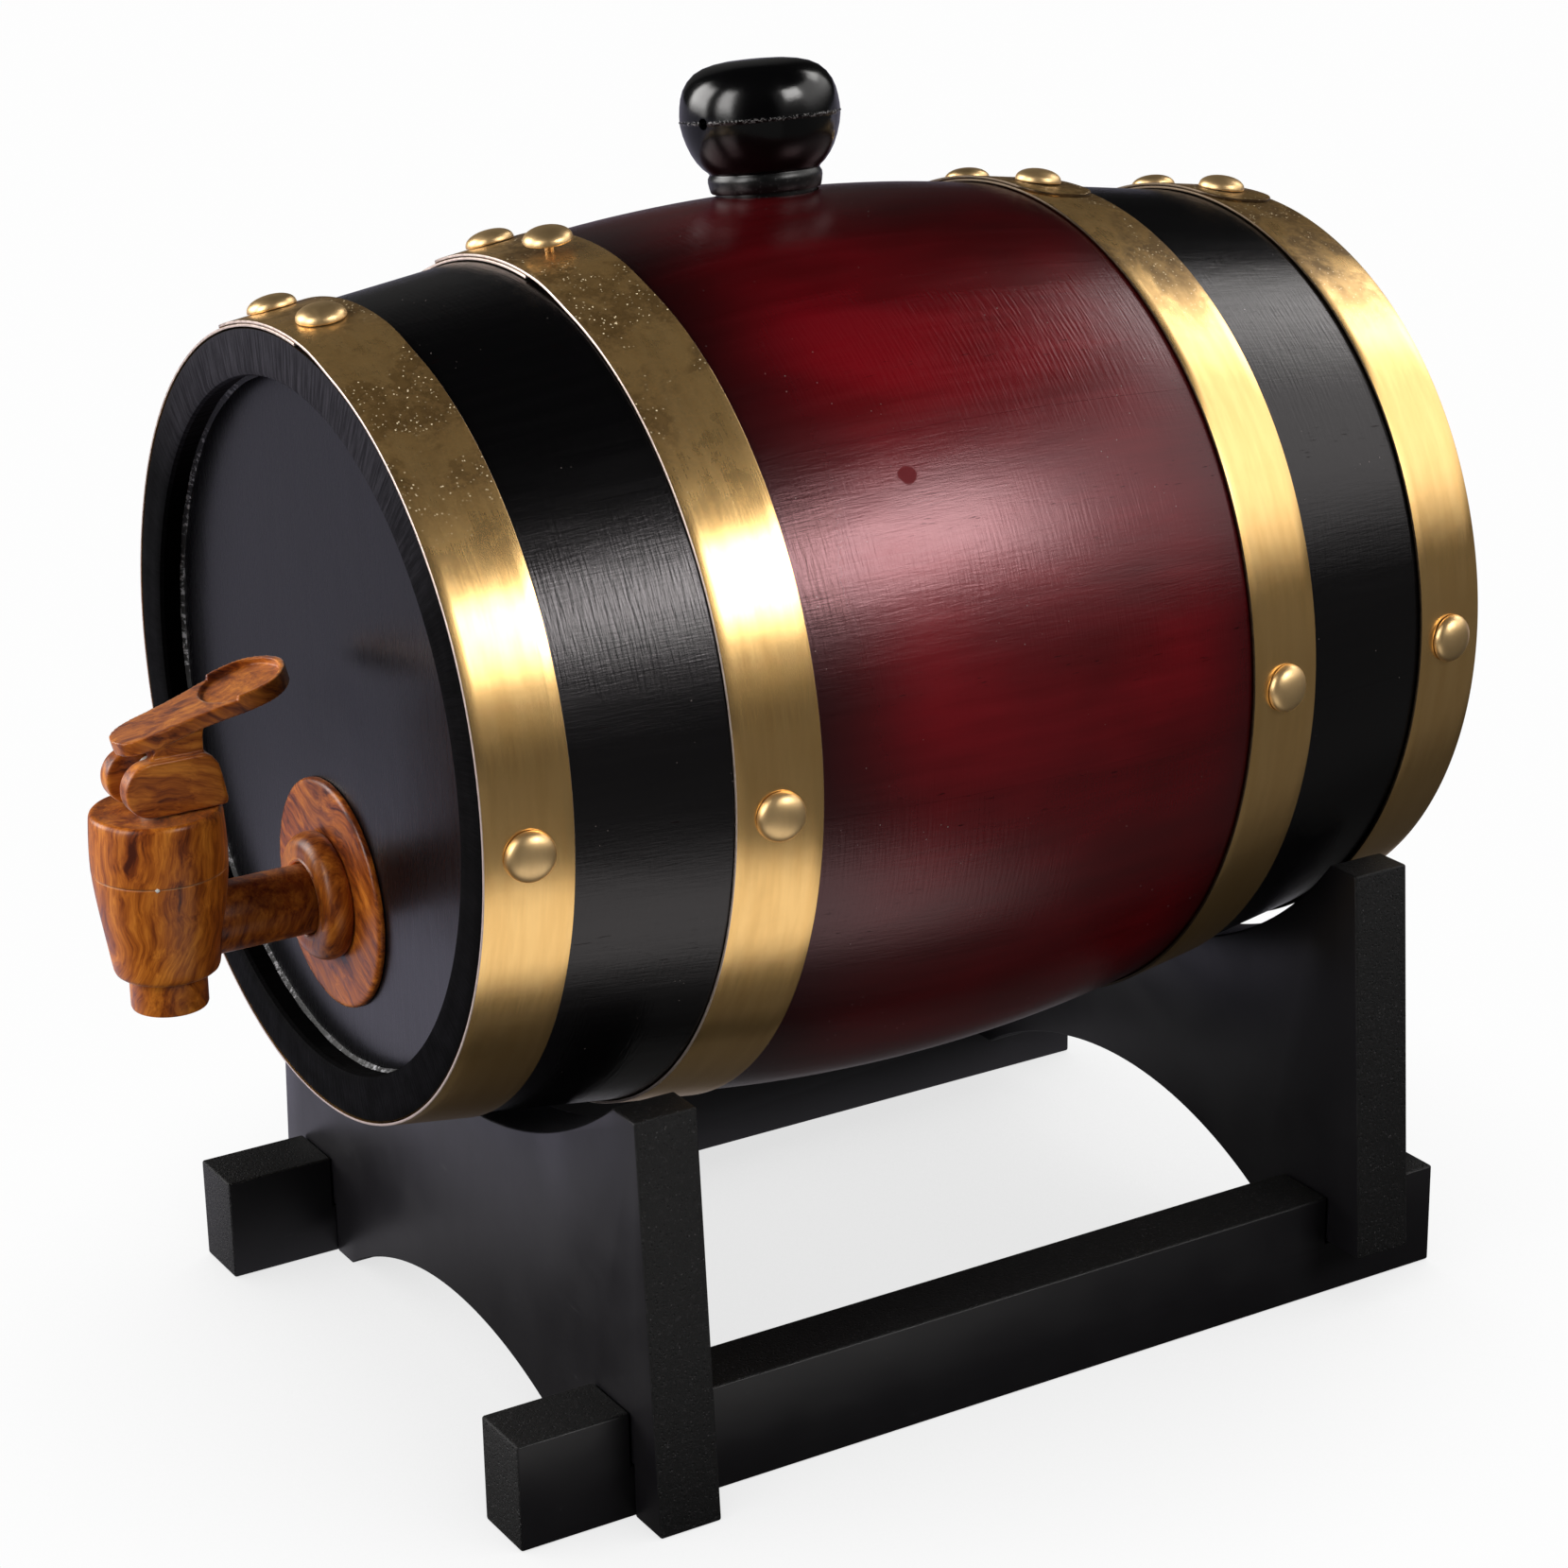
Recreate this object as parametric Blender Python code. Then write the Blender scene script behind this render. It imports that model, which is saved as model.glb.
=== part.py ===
"""Small oak wine barrel with tap, bung and cradle stand.

Lengths below are millimetres measured from the middle of the barrel (x across, y along,
the tap end at -y) and from the floor (z).  Everything is scaled to metres when it is built.
"""
import math

import bmesh
import bpy

MM = 0.001
GAP = 0.3                      # clearance left between touching pieces

# --- barrel ---------------------------------------------------------------
HALF_LENGTH = 123.5
AXIS_HEIGHT = 156.0            # barrel axis above the floor
BELLY_RADIUS = 97.8
BELLY_CURVE = 0.00142          # radius lost per mm squared near the middle
CURVED_HALF = 50.0             # beyond this the staves run straight
END_SLOPE = 2.0 * BELLY_CURVE * CURVED_HALF
STAVE_THICKNESS = 10.0
STAVE_COUNT = 16
STAVE_ARC_STEPS = 3
STAVE_JOINT = 0.15
RIM_CHAMFER = 1.0

HEAD_RECESS = 6.0              # depth of the chime in front of the head
HEAD_THICKNESS = 8.0
TONGUE_INSET = 2.0             # head edge is thinned on both sides by this
CROZE_DEPTH = 3.5
TONGUE_REACH = 3.1

# --- hoops and nails --------------------------------------------------------
HOOP_THICKNESS = 0.6
HOOP_FIT = 0.25
LAP_FIT = 0.15
HOOP_STEP = 3.75               # degrees
LAP_END = 8.0                  # outer strip end, degrees clockwise of the top
LAP_HOLD = -24.0               # outer layer runs flat to here
LAP_DROP = -34.0               # and has dropped to the inner layer here
INNER_END = -22.0              # inner strip end
HOOP_EDGES = {
    "front_end_hoop": (-123.5, -105.05),
    "front_bilge_hoop": (-71.9, -53.4),
    "rear_bilge_hoop": (53.4, 71.9),
    "rear_end_hoop": (105.05, 123.5),
}
FRONT_NAIL_ANGLES = {"a": 2.3, "b": -14.0, "c": 92.0, "d": -90.0}
REAR_NAIL_ANGLES = {"a": 0.5, "b": -17.0, "c": 90.0, "d": -90.0}
LAP_MIRROR = -15.0             # the front hoops overlap the other way round
NAIL_HEAD_RADIUS = 5.3
NAIL_HEAD_HEIGHT = 2.9
NAIL_SHANK_RADIUS = 0.8
NAIL_SHANK_DEPTH = 7.0

# --- bung ---------------------------------------------------------------------
BUNG_Y = 0.0
BUNG_TURN = -7.5               # the bung stave lies this far clockwise of the top
BUNG_HOLE_TOP = 11.7
BUNG_HOLE_BOTTOM = 11.1
BUNG_VENT_AZIMUTH = 15.0
BUNG_VENT_HEIGHT = 16.1

# --- tap, heights are measured from the barrel axis -------------------------------
TAP_Y = -156.1
SHANK_Z = -37.5
SHANK_RADIUS = 7.5
SHANK_BORE = 4.6
SHANK_END_Y = -99.5
BODY_RADIUS = 14.15
BODY_FOOT_RADIUS = 11.0
SEAM_RADIUS = 14.0
SEAM_Z = -23.5
BONNET_TOP_Z = -10.6
BODY_FOOT_Z = -46.6
SPOUT_RADIUS = 8.1
SPOUT_Z = -54.1
CAVITY_RADIUS = 8.5
SEAT_Z = -42.3
PIN_Z = -4.0
PIN_RADIUS = 1.0
STEM_RADIUS = 2.9
STEM_TOP_Z = 0.6
PIN_HALF = 6.2
LEVER_HALF = 7.4
NECK_HALF = 5.9
SLOT_HALF = 3.15
PADDLE_TILT = 14.7
PADDLE_THICKNESS = 3.1
PADDLE_RIM = 0.9               # the rim round the dish stands this far above the face
PADDLE_TIP = (-164.4, 5.3)     # y and z of the front end of the top face

# --- stand ----------------------------------------------------------------------
RAIL_OUTER_X = 81.0
RAIL_WIDTH = 16.0
RAIL_HEIGHT = 24.4
RAIL_HALF_LENGTH = 120.5
BOARD_THICKNESS = 14.5
BOARD_HEIGHT = 92.0
BOARD_TOP_HALF = 86.5
BOARD_FOOT_HALF = 92.3
HORN_INNER_X = 77.5
ARCH_HALF = 57.0
ARCH_RISE = 16.5
FRONT_BOARD_Y = -94.0          # front face of the front board
REAR_BOARD_Y = 89.5            # front face of the rear board
REAR_BOARD_FOOT = 13.0         # the rear board stands in notches, clear of the floor
LAP_HEIGHT = 12.2              # where board and rail meet in the front half-lap

# The finished piece is centred over the floor origin.
FRONT_REACH = TAP_Y - BODY_RADIUS
LENGTH_SHIFT = -(FRONT_REACH + HALF_LENGTH) / 2.0

COLOURS = {
    "black": (0.03, 0.03, 0.035, 1.0),
    "lacquer": (0.16, 0.01, 0.02, 1.0),
    "brass": (0.72, 0.55, 0.27, 1.0),
    "grain": (0.62, 0.33, 0.12, 1.0),
    "white": (0.85, 0.85, 0.82, 1.0),
    "steel": (0.6, 0.6, 0.62, 1.0),
    "rubber": (0.05, 0.05, 0.05, 1.0),
}


def clear_scene():
    for item in list(bpy.data.objects):
        bpy.data.objects.remove(item, do_unlink=True)


def material(name):
    found = bpy.data.materials.get(name)
    if found is None:
        found = bpy.data.materials.new(name)
        found.diffuse_color = COLOURS[name]
        found.use_nodes = True
        shader = found.node_tree.nodes["Principled BSDF"]
        shader.inputs["Base Color"].default_value = COLOURS[name]
    return found


def place(point):
    """Millimetres in the barrel frame to metres in the shared frame."""
    x, y, z = point
    return (x * MM, (y + LENGTH_SHIFT) * MM, z * MM)


def add_mesh(name, points, faces, colour):
    mesh = bpy.data.meshes.new(name)
    mesh.from_pydata([place(point) for point in points], [], faces)
    work = bmesh.new()
    work.from_mesh(mesh)
    bmesh.ops.remove_doubles(work, verts=work.verts, dist=1e-7)
    bmesh.ops.recalc_face_normals(work, faces=work.faces)
    work.to_mesh(mesh)
    work.free()
    mesh.materials.append(material(colour))
    item = bpy.data.objects.new(name, mesh)
    bpy.context.scene.collection.objects.link(item)
    return item


def combine(target, tool, operation):
    """Cut or join a helper body and drop it afterwards."""
    step = target.modifiers.new("step", "BOOLEAN")
    step.operation = operation
    step.solver = "EXACT"
    step.object = tool
    bpy.context.view_layer.update()
    shaped = target.evaluated_get(bpy.context.evaluated_depsgraph_get())
    mesh = bpy.data.meshes.new_from_object(shaped)
    target.modifiers.clear()
    target.data = mesh
    mesh.name = target.name
    bpy.data.objects.remove(tool, do_unlink=True)
    work = bmesh.new()
    work.from_mesh(mesh)
    bmesh.ops.remove_doubles(work, verts=work.verts, dist=2e-6)
    bmesh.ops.dissolve_degenerate(work, edges=work.edges, dist=1e-6)
    work.to_mesh(mesh)
    work.free()
    mesh.materials.clear()
    mesh.materials.append(material(target["colour"]))
    return target


def tagged(item, colour):
    item["colour"] = colour
    return item


def lathe(name, profile, centre, direction, colour, steps=32, closed=True):
    """Turn (radius, height) pairs about a line through centre.

    A closed profile makes a ring; an open one starts and ends on the axis.
    """
    frames = {
        "x": ((0, 1, 0), (0, 0, 1), (1, 0, 0)),
        "y": ((0, 0, 1), (1, 0, 0), (0, 1, 0)),
        "z": ((1, 0, 0), (0, 1, 0), (0, 0, 1)),
    }
    first, second, along = frames[direction]
    points = []
    rows = []
    for radius, height in profile:
        row = []
        for step in range(steps):
            if radius < 1e-6 and step > 0:
                row.append(row[0])
                continue
            turn = 2.0 * math.pi * step / steps
            cos_turn = radius * math.cos(turn)
            sin_turn = radius * math.sin(turn)
            points.append(tuple(
                centre[i] + cos_turn * first[i] + sin_turn * second[i] + height * along[i]
                for i in range(3)
            ))
            row.append(len(points) - 1)
        rows.append(row)
    pairs = list(zip(rows, rows[1:]))
    if closed:
        pairs.append((rows[-1], rows[0]))
    faces = []
    for low, high in pairs:
        for step in range(steps):
            after = (step + 1) % steps
            corners = [low[step], low[after], high[after], high[step]]
            corners = list(dict.fromkeys(corners))
            if len(corners) > 2:
                faces.append(corners)
    return tagged(add_mesh(name, points, faces, colour), colour)


def prism(name, outline, axis, low, high, colour):
    """Extrude a flat outline along x, y or z between two values."""
    points = []
    for value in (low, high):
        for first, second in outline:
            if axis == "x":
                points.append((value, first, second))
            elif axis == "y":
                points.append((first, value, second))
            else:
                points.append((first, second, value))
    count = len(outline)
    faces = [list(range(count)), list(range(2 * count - 1, count - 1, -1))]
    for i in range(count):
        after = (i + 1) % count
        faces.append([i, after, count + after, count + i])
    return tagged(add_mesh(name, points, faces, colour), colour)


def arc(centre, radius, start, end, steps):
    """Points on an arc, angles in degrees."""
    found = []
    for step in range(steps + 1):
        turn = math.radians(start + (end - start) * step / steps)
        found.append((centre[0] + radius * math.cos(turn), centre[1] + radius * math.sin(turn)))
    return found


def outer_radius(y):
    """Outside radius of the bare staves."""
    y = abs(y)
    if y <= CURVED_HALF:
        return BELLY_RADIUS - BELLY_CURVE * y * y
    return BELLY_RADIUS - BELLY_CURVE * CURVED_HALF ** 2 - END_SLOPE * (y - CURVED_HALF)


def around(radius, degrees, y):
    """A point at an angle clockwise of the top, seen from the tap end."""
    turn = math.radians(degrees)
    return (radius * math.sin(turn), y, AXIS_HEIGHT + radius * math.cos(turn))


# --- barrel body -------------------------------------------------------------------

def stave_profile():
    """Closed (y, radius) section of a stave with chamfered rims and croze grooves."""
    stations = [HALF_LENGTH, 105.0, 88.0, 71.0, CURVED_HALF, 37.5, 25.0, 12.5]
    ys = [-y for y in stations] + [0.0] + stations[::-1]
    outside = [(y, outer_radius(y)) for y in ys]
    tongue_front = HALF_LENGTH - HEAD_RECESS - TONGUE_INSET + 0.2
    tongue_back = HALF_LENGTH - HEAD_RECESS - HEAD_THICKNESS + TONGUE_INSET - 0.2
    inside = []
    rim = outer_radius(HALF_LENGTH) - STAVE_THICKNESS
    inside.append((HALF_LENGTH, rim + RIM_CHAMFER))
    inside.append((HALF_LENGTH - RIM_CHAMFER, inner_radius(HALF_LENGTH - RIM_CHAMFER)))
    inside.append((tongue_front, inner_radius(tongue_front)))
    inside.append((tongue_front, inner_radius(tongue_front) + CROZE_DEPTH))
    inside.append((tongue_back, inner_radius(tongue_front) + CROZE_DEPTH))
    inside.append((tongue_back, inner_radius(tongue_back)))
    inside += [(y, inner_radius(y)) for y in (88.0, 71.0, CURVED_HALF, 25.0, 0.0)]
    mirrored = [(-y, radius) for y, radius in inside[:-1]][::-1]
    return outside + inside + mirrored


def inner_radius(y):
    return outer_radius(y) - STAVE_THICKNESS


def build_stave(name, middle, colour):
    """One stave, its joint faces held back so neighbours never touch."""
    profile = stave_profile()
    half = 180.0 / STAVE_COUNT
    rows = []
    points = []
    for step in range(STAVE_ARC_STEPS + 1):
        share = -1.0 + 2.0 * step / STAVE_ARC_STEPS
        row = []
        for y, radius in profile:
            held = half - math.degrees(STAVE_JOINT / radius)
            points.append(around(radius, middle + share * held, y))
            row.append(len(points) - 1)
        rows.append(row)
    count = len(profile)
    faces = [rows[0][:], rows[-1][::-1]]
    for low, high in zip(rows, rows[1:]):
        for i in range(count):
            after = (i + 1) % count
            faces.append([low[i], high[i], high[after], low[after]])
    return tagged(add_mesh(name, points, faces, colour), colour)


def rolled(obj, degrees):
    """Turn a piece about the barrel axis, clockwise seen from the tap end."""
    turn = math.radians(degrees)
    for vertex in obj.data.vertices:
        across = vertex.co.x
        upward = vertex.co.z - AXIS_HEIGHT * MM
        vertex.co.x = across * math.cos(turn) + upward * math.sin(turn)
        vertex.co.z = AXIS_HEIGHT * MM + upward * math.cos(turn) - across * math.sin(turn)
    return obj


def build_staves():
    staves = []
    for index in range(STAVE_COUNT):
        middle = BUNG_TURN + index * 360.0 / STAVE_COUNT
        staves.append(build_stave(f"stave_{index + 1:02d}", middle, "lacquer"))
    top = AXIS_HEIGHT + BELLY_RADIUS
    hole = [
        (0.0, top - 16.0),
        (BUNG_HOLE_BOTTOM, top - 16.0),
        (BUNG_HOLE_TOP, top + 4.0),
        (0.0, top + 4.0),
    ]
    cutter = lathe("bung_cutter", hole, (0, BUNG_Y, 0), "z", "lacquer", 32, False)
    combine(staves[0], rolled(cutter, BUNG_TURN), "DIFFERENCE")
    return staves


def build_heads():
    """Two flat heads whose thinned edges sit in the croze grooves."""
    front = -HALF_LENGTH + HEAD_RECESS
    body = inner_radius(HALF_LENGTH - HEAD_RECESS) - GAP
    reach = inner_radius(HALF_LENGTH - HEAD_RECESS - TONGUE_INSET + 0.2) + TONGUE_REACH
    profile = [
        (0.0, 0.0),
        (body, 0.0),
        (body, TONGUE_INSET),
        (reach, TONGUE_INSET),
        (reach, HEAD_THICKNESS - TONGUE_INSET),
        (body, HEAD_THICKNESS - TONGUE_INSET),
        (body, HEAD_THICKNESS),
        (0.0, HEAD_THICKNESS),
    ]
    turned = [(radius, -height) for radius, height in profile]
    front_head = lathe("front_head", profile, (0, front, AXIS_HEIGHT), "y", "black", 64, False)
    lathe("rear_head", turned, (0, -front, AXIS_HEIGHT), "y", "black", 64, False)
    hole = [(0.0, -20.0), (SHANK_RADIUS + GAP, -20.0), (SHANK_RADIUS + GAP, 20.0), (0.0, 20.0)]
    centre = (0, front, AXIS_HEIGHT + SHANK_Z)
    combine(front_head, lathe("tap_cutter", hole, centre, "y", "black", 24, False), "DIFFERENCE")


# --- hoops and nails ---------------------------------------------------------------

def strip_lift(degrees):
    """Height of the strip's inner face above the fitted face, by angle along the strip."""
    layer = HOOP_THICKNESS + LAP_FIT
    if degrees >= LAP_HOLD:
        return layer
    if degrees <= LAP_DROP:
        return 0.0
    share = (degrees - LAP_DROP) / (LAP_HOLD - LAP_DROP)
    return layer * share * share * (3.0 - 2.0 * share)


def strip_half(width, along, corner):
    """Half width of the strip near a rounded end, by distance from that end."""
    if along >= corner:
        return width / 2.0
    return width / 2.0 - corner + math.sqrt(corner ** 2 - (corner - along) ** 2)


def hoop_lift_at(degrees):
    """Top of the metal above the wood at a nail."""
    lift = HOOP_FIT + HOOP_THICKNESS
    if INNER_END <= degrees <= LAP_END - 1.0:
        lift += HOOP_THICKNESS + LAP_FIT
    return lift


def build_hoop(name, edges):
    """A riveted strip: one band that overlaps itself at the top."""
    low, high = edges
    middle = (low + high) / 2.0
    width = high - low
    corner = 6.0
    radius = outer_radius(middle)
    per_degree = math.radians(1.0) * radius
    last = INNER_END - 360.0
    angles = [LAP_END - share * corner / per_degree for share in (0.02, 0.08, 0.25, 0.55, 1.0)]
    step = math.floor((LAP_END - corner / per_degree) / HOOP_STEP) * HOOP_STEP
    while step > last + 0.5:
        if step < angles[-1] - 0.5:
            angles.append(step)
        step -= HOOP_STEP
    angles.append(last)
    points = []
    rows = []
    for degrees in angles:
        along = (LAP_END - degrees) * per_degree
        half = strip_half(width, along, corner)
        lift = strip_lift(degrees) + HOOP_FIT
        row = []
        for y, extra in (
            (middle - half, 0.0),
            (middle - half, HOOP_THICKNESS),
            (middle + half, HOOP_THICKNESS),
            (middle + half, 0.0),
        ):
            turn = LAP_MIRROR - degrees if middle < 0.0 else degrees
            points.append(around(outer_radius(y) + lift + extra, turn, y))
            row.append(len(points) - 1)
        rows.append(row)
    faces = [rows[0][:], rows[-1][::-1]]
    for near, far in zip(rows, rows[1:]):
        for i in range(4):
            after = (i + 1) % 4
            faces.append([near[i], far[i], far[after], near[after]])
    if middle < 0.0:
        faces = [face[::-1] for face in faces]
    return tagged(add_mesh(name, points, faces, "brass"), "brass")


def nail_body(name, degrees, y, extra, colour):
    """A domed nail, or with extra above zero the hole it is driven into."""
    base = outer_radius(y) + hoop_lift_at(degrees)
    shank = NAIL_SHANK_RADIUS + extra
    if extra > 0.0:
        profile = [(0.0, -NAIL_SHANK_DEPTH - extra), (shank, -NAIL_SHANK_DEPTH - extra)]
        profile += [(shank, 1.0), (0.0, 1.0)]
    else:
        profile = [(0.0, -NAIL_SHANK_DEPTH), (shank, -NAIL_SHANK_DEPTH + 1.5), (shank, 0.15)]
        profile += [(NAIL_HEAD_RADIUS, 0.15), (NAIL_HEAD_RADIUS, 0.6)]
        for turn in (25.0, 50.0, 75.0):
            flat = math.cos(math.radians(turn))
            rise = math.sin(math.radians(turn))
            profile.append((NAIL_HEAD_RADIUS * flat, 0.6 + (NAIL_HEAD_HEIGHT - 0.6) * rise))
        profile.append((0.0, NAIL_HEAD_HEIGHT))
    steps = 10 if extra > 0.0 else 16
    turn = math.radians(degrees)
    outward = (math.sin(turn), 0.0, math.cos(turn))
    lean = math.copysign(END_SLOPE, y)
    size = math.sqrt(1.0 + lean * lean)
    normal = (outward[0] / size, lean / size, outward[2] / size)
    side = (math.cos(turn), 0.0, -math.sin(turn))
    cross = (
        normal[1] * side[2] - normal[2] * side[1],
        normal[2] * side[0] - normal[0] * side[2],
        normal[0] * side[1] - normal[1] * side[0],
    )
    centre = around(base, degrees, y)
    points = []
    rows = []
    for radius, height in profile:
        row = []
        for step in range(steps):
            if radius < 1e-6 and step > 0:
                row.append(row[0])
                continue
            spin = 2.0 * math.pi * step / steps
            points.append(tuple(
                centre[i] + height * normal[i]
                + radius * (math.cos(spin) * side[i] + math.sin(spin) * cross[i])
                for i in range(3)
            ))
            row.append(len(points) - 1)
        rows.append(row)
    faces = []
    for low, high in zip(rows, rows[1:]):
        for step in range(steps):
            after = (step + 1) % steps
            corners = list(dict.fromkeys([low[step], low[after], high[after], high[step]]))
            if len(corners) > 2:
                faces.append(corners)
    return tagged(add_mesh(name, points, faces, colour), colour)


def build_hoops_and_nails(staves):
    for hoop_name, edges in HOOP_EDGES.items():
        hoop = build_hoop(hoop_name, edges)
        middle = (edges[0] + edges[1]) / 2.0
        angles = FRONT_NAIL_ANGLES if middle < 0.0 else REAR_NAIL_ANGLES
        for letter, degrees in angles.items():
            stave_index = round((degrees - BUNG_TURN) / (360.0 / STAVE_COUNT)) % STAVE_COUNT
            cutter = nail_body("nail_cutter", degrees, middle, 0.3, "brass")
            combine(hoop, cutter, "DIFFERENCE")
            cutter = nail_body("nail_cutter", degrees, middle, 0.3, "brass")
            combine(staves[stave_index], cutter, "DIFFERENCE")
            nail_name = hoop_name.replace("hoop", "nail") + "_" + letter
            nail_body(nail_name, degrees, middle, 0.0, "brass")


# --- bung ------------------------------------------------------------------------

def build_bung():
    top = AXIS_HEIGHT + BELLY_RADIUS
    profile = [
        (0.0, -11.0),
        (10.5, -11.0),
        (11.2, 0.4),
        (12.6, 0.4),
        (12.7, 3.6),
        (13.4, 5.0),
        (15.6, 8.2),
        (17.0, 11.8),
        (17.55, 15.6),
        (17.4, 19.4),
        (16.5, 23.0),
        (14.4, 26.0),
        (11.0, 27.7),
        (6.0, 28.3),
        (0.0, 28.5),
    ]
    bung = lathe("bung", profile, (0, BUNG_Y, top), "z", "black", 40, False)
    turn = math.radians(BUNG_VENT_AZIMUTH)
    hole = lathe("vent_cutter", [(0.0, 0.0), (1.2, 0.0), (1.2, 9.0), (0.0, 9.0)],
                 (0, 0, 0), "y", "black", 12, False)
    middle_y = (BUNG_Y + LENGTH_SHIFT) * MM
    for vertex in hole.data.vertices:
        x, y, z = vertex.co
        reach = (y - LENGTH_SHIFT * MM) - 0.0215
        vertex.co.x = x * math.cos(turn) - reach * math.sin(turn)
        vertex.co.y = middle_y + x * math.sin(turn) + reach * math.cos(turn)
        vertex.co.z = z + (top + BUNG_VENT_HEIGHT) * MM
    combine(bung, hole, "DIFFERENCE")
    rolled(bung, BUNG_TURN)


# --- tap -----------------------------------------------------------------------

def level(height):
    """Height above the floor of a height given from the barrel axis."""
    return AXIS_HEIGHT + height


def build_tap_body():
    centre = (0, TAP_Y, AXIS_HEIGHT)
    neck = [
        (0.0, SPOUT_Z),
        (SPOUT_RADIUS - 0.6, SPOUT_Z),
        (SPOUT_RADIUS, SPOUT_Z + 0.6),
        (SPOUT_RADIUS, BODY_FOOT_Z + 0.1),
        (BODY_FOOT_RADIUS - 1.1, BODY_FOOT_Z + 0.1),
        (BODY_FOOT_RADIUS, BODY_FOOT_Z + 1.3),
        (11.75, BODY_FOOT_Z + 5.9),
        (13.0, BODY_FOOT_Z + 14.0),
        (SEAM_RADIUS, SEAM_Z - 0.15),
        (12.0, SEAM_Z - 0.15),
        (12.0, -15.4),
        (0.0, -15.4),
    ]
    body = lathe("tap_body", neck, centre, "z", "grain", 32, False)
    shank = [
        (0.0, TAP_Y + 4.0),
        (SHANK_RADIUS, TAP_Y + 4.0),
        (SHANK_RADIUS, SHANK_END_Y - 0.8),
        (SHANK_RADIUS - 0.8, SHANK_END_Y),
        (0.0, SHANK_END_Y),
    ]
    line = (0, 0, level(SHANK_Z))
    combine(body, lathe("shank", shank, line, "y", "grain", 24, False), "UNION")
    cavity = [(0.0, SEAT_Z), (CAVITY_RADIUS, SEAT_Z), (CAVITY_RADIUS, -10.0), (0.0, -10.0)]
    combine(body, lathe("cavity", cavity, centre, "z", "grain", 24, False), "DIFFERENCE")
    outlet = [(0.0, -66.0), (6.2, -66.0), (6.2, -45.2), (4.8, -44.5), (4.8, -36.6), (0.0, -36.6)]
    combine(body, lathe("outlet", outlet, centre, "z", "grain", 24, False), "DIFFERENCE")
    bore = [(0.0, TAP_Y + 2.0), (SHANK_BORE, TAP_Y + 2.0), (SHANK_BORE, -90.0), (0.0, -90.0)]
    combine(body, lathe("bore", bore, line, "y", "grain", 16, False), "DIFFERENCE")


def build_tap_collars():
    line = (0, 0, level(SHANK_Z))
    hole = SHANK_RADIUS + GAP
    plate = [
        (hole, -117.7),
        (hole, -119.2),
        (24.0, -119.2),
        (24.8, -118.9),
        (25.0, -118.4),
        (25.0, -117.7),
    ]
    lathe("tap_escutcheon", plate, line, "y", "grain", 48)
    ring = [
        (hole, -119.4),
        (hole, -125.0),
        (10.6, -125.0),
        (12.4, -124.5),
        (13.6, -123.2),
        (14.0, -121.6),
        (13.8, -119.4),
    ]
    lathe("tap_collar", ring, line, "y", "grain", 40)
    washer = [(hole, -109.3), (hole, -107.5), (12.8, -107.5), (12.8, -109.3)]
    lathe("tap_washer", washer, line, "y", "rubber", 24)
    outline = arc((0.0, level(SHANK_Z)), 13.4, 0.0, 300.0, 5)
    nut = prism("tap_nut", outline, "y", -107.2, -101.6, "grain")
    cut = [(0.0, -112.0), (hole, -112.0), (hole, -98.0), (0.0, -98.0)]
    combine(nut, lathe("nut_cutter", cut, line, "y", "grain", 24, False), "DIFFERENCE")


def build_tap_valve():
    centre = (0, TAP_Y, AXIS_HEIGHT)
    cap = [
        (STEM_RADIUS + 0.2, BONNET_TOP_Z),
        (12.8, BONNET_TOP_Z),
        (13.5, BONNET_TOP_Z - 0.3),
        (13.8, BONNET_TOP_Z - 1.2),
        (BODY_RADIUS, BONNET_TOP_Z - 9.0),
        (SEAM_RADIUS, SEAM_Z + 0.15),
        (12.3, SEAM_Z + 0.15),
        (12.3, -15.0),
        (STEM_RADIUS + 0.2, -15.0),
    ]
    lathe("tap_bonnet", cap, centre, "z", "grain", 40)
    stem = [
        (0.0, -41.8),
        (1.3, -41.8),
        (1.3, -40.0),
        (5.4, -40.0),
        (5.4, -38.6),
        (STEM_RADIUS, -38.6),
        (STEM_RADIUS, STEM_TOP_Z - 2.0),
        (2.4, STEM_TOP_Z - 0.9),
        (1.4, STEM_TOP_Z - 0.2),
        (0.0, STEM_TOP_Z),
    ]
    rod = lathe("tap_stem", stem, centre, "z", "white", 20, False)
    pin_hole = [(0.0, -9.0), (PIN_RADIUS + 0.2, -9.0), (PIN_RADIUS + 0.2, 9.0), (0.0, 9.0)]
    pin_line = (0, TAP_Y, level(PIN_Z))
    cutter = lathe("stem_pin_cutter", pin_hole, pin_line, "x", "white", 12, False)
    combine(rod, cutter, "DIFFERENCE")
    seal = [(1.5, -42.0), (1.5, -40.2), (6.6, -40.2), (6.6, -42.0)]
    lathe("tap_valve_seal", seal, centre, "z", "rubber", 24)
    pin = [(0.0, -PIN_HALF), (PIN_RADIUS, -PIN_HALF), (PIN_RADIUS, PIN_HALF), (0.0, PIN_HALF)]
    lathe("tap_lever_pin", pin, pin_line, "x", "steel", 16, False)


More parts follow.
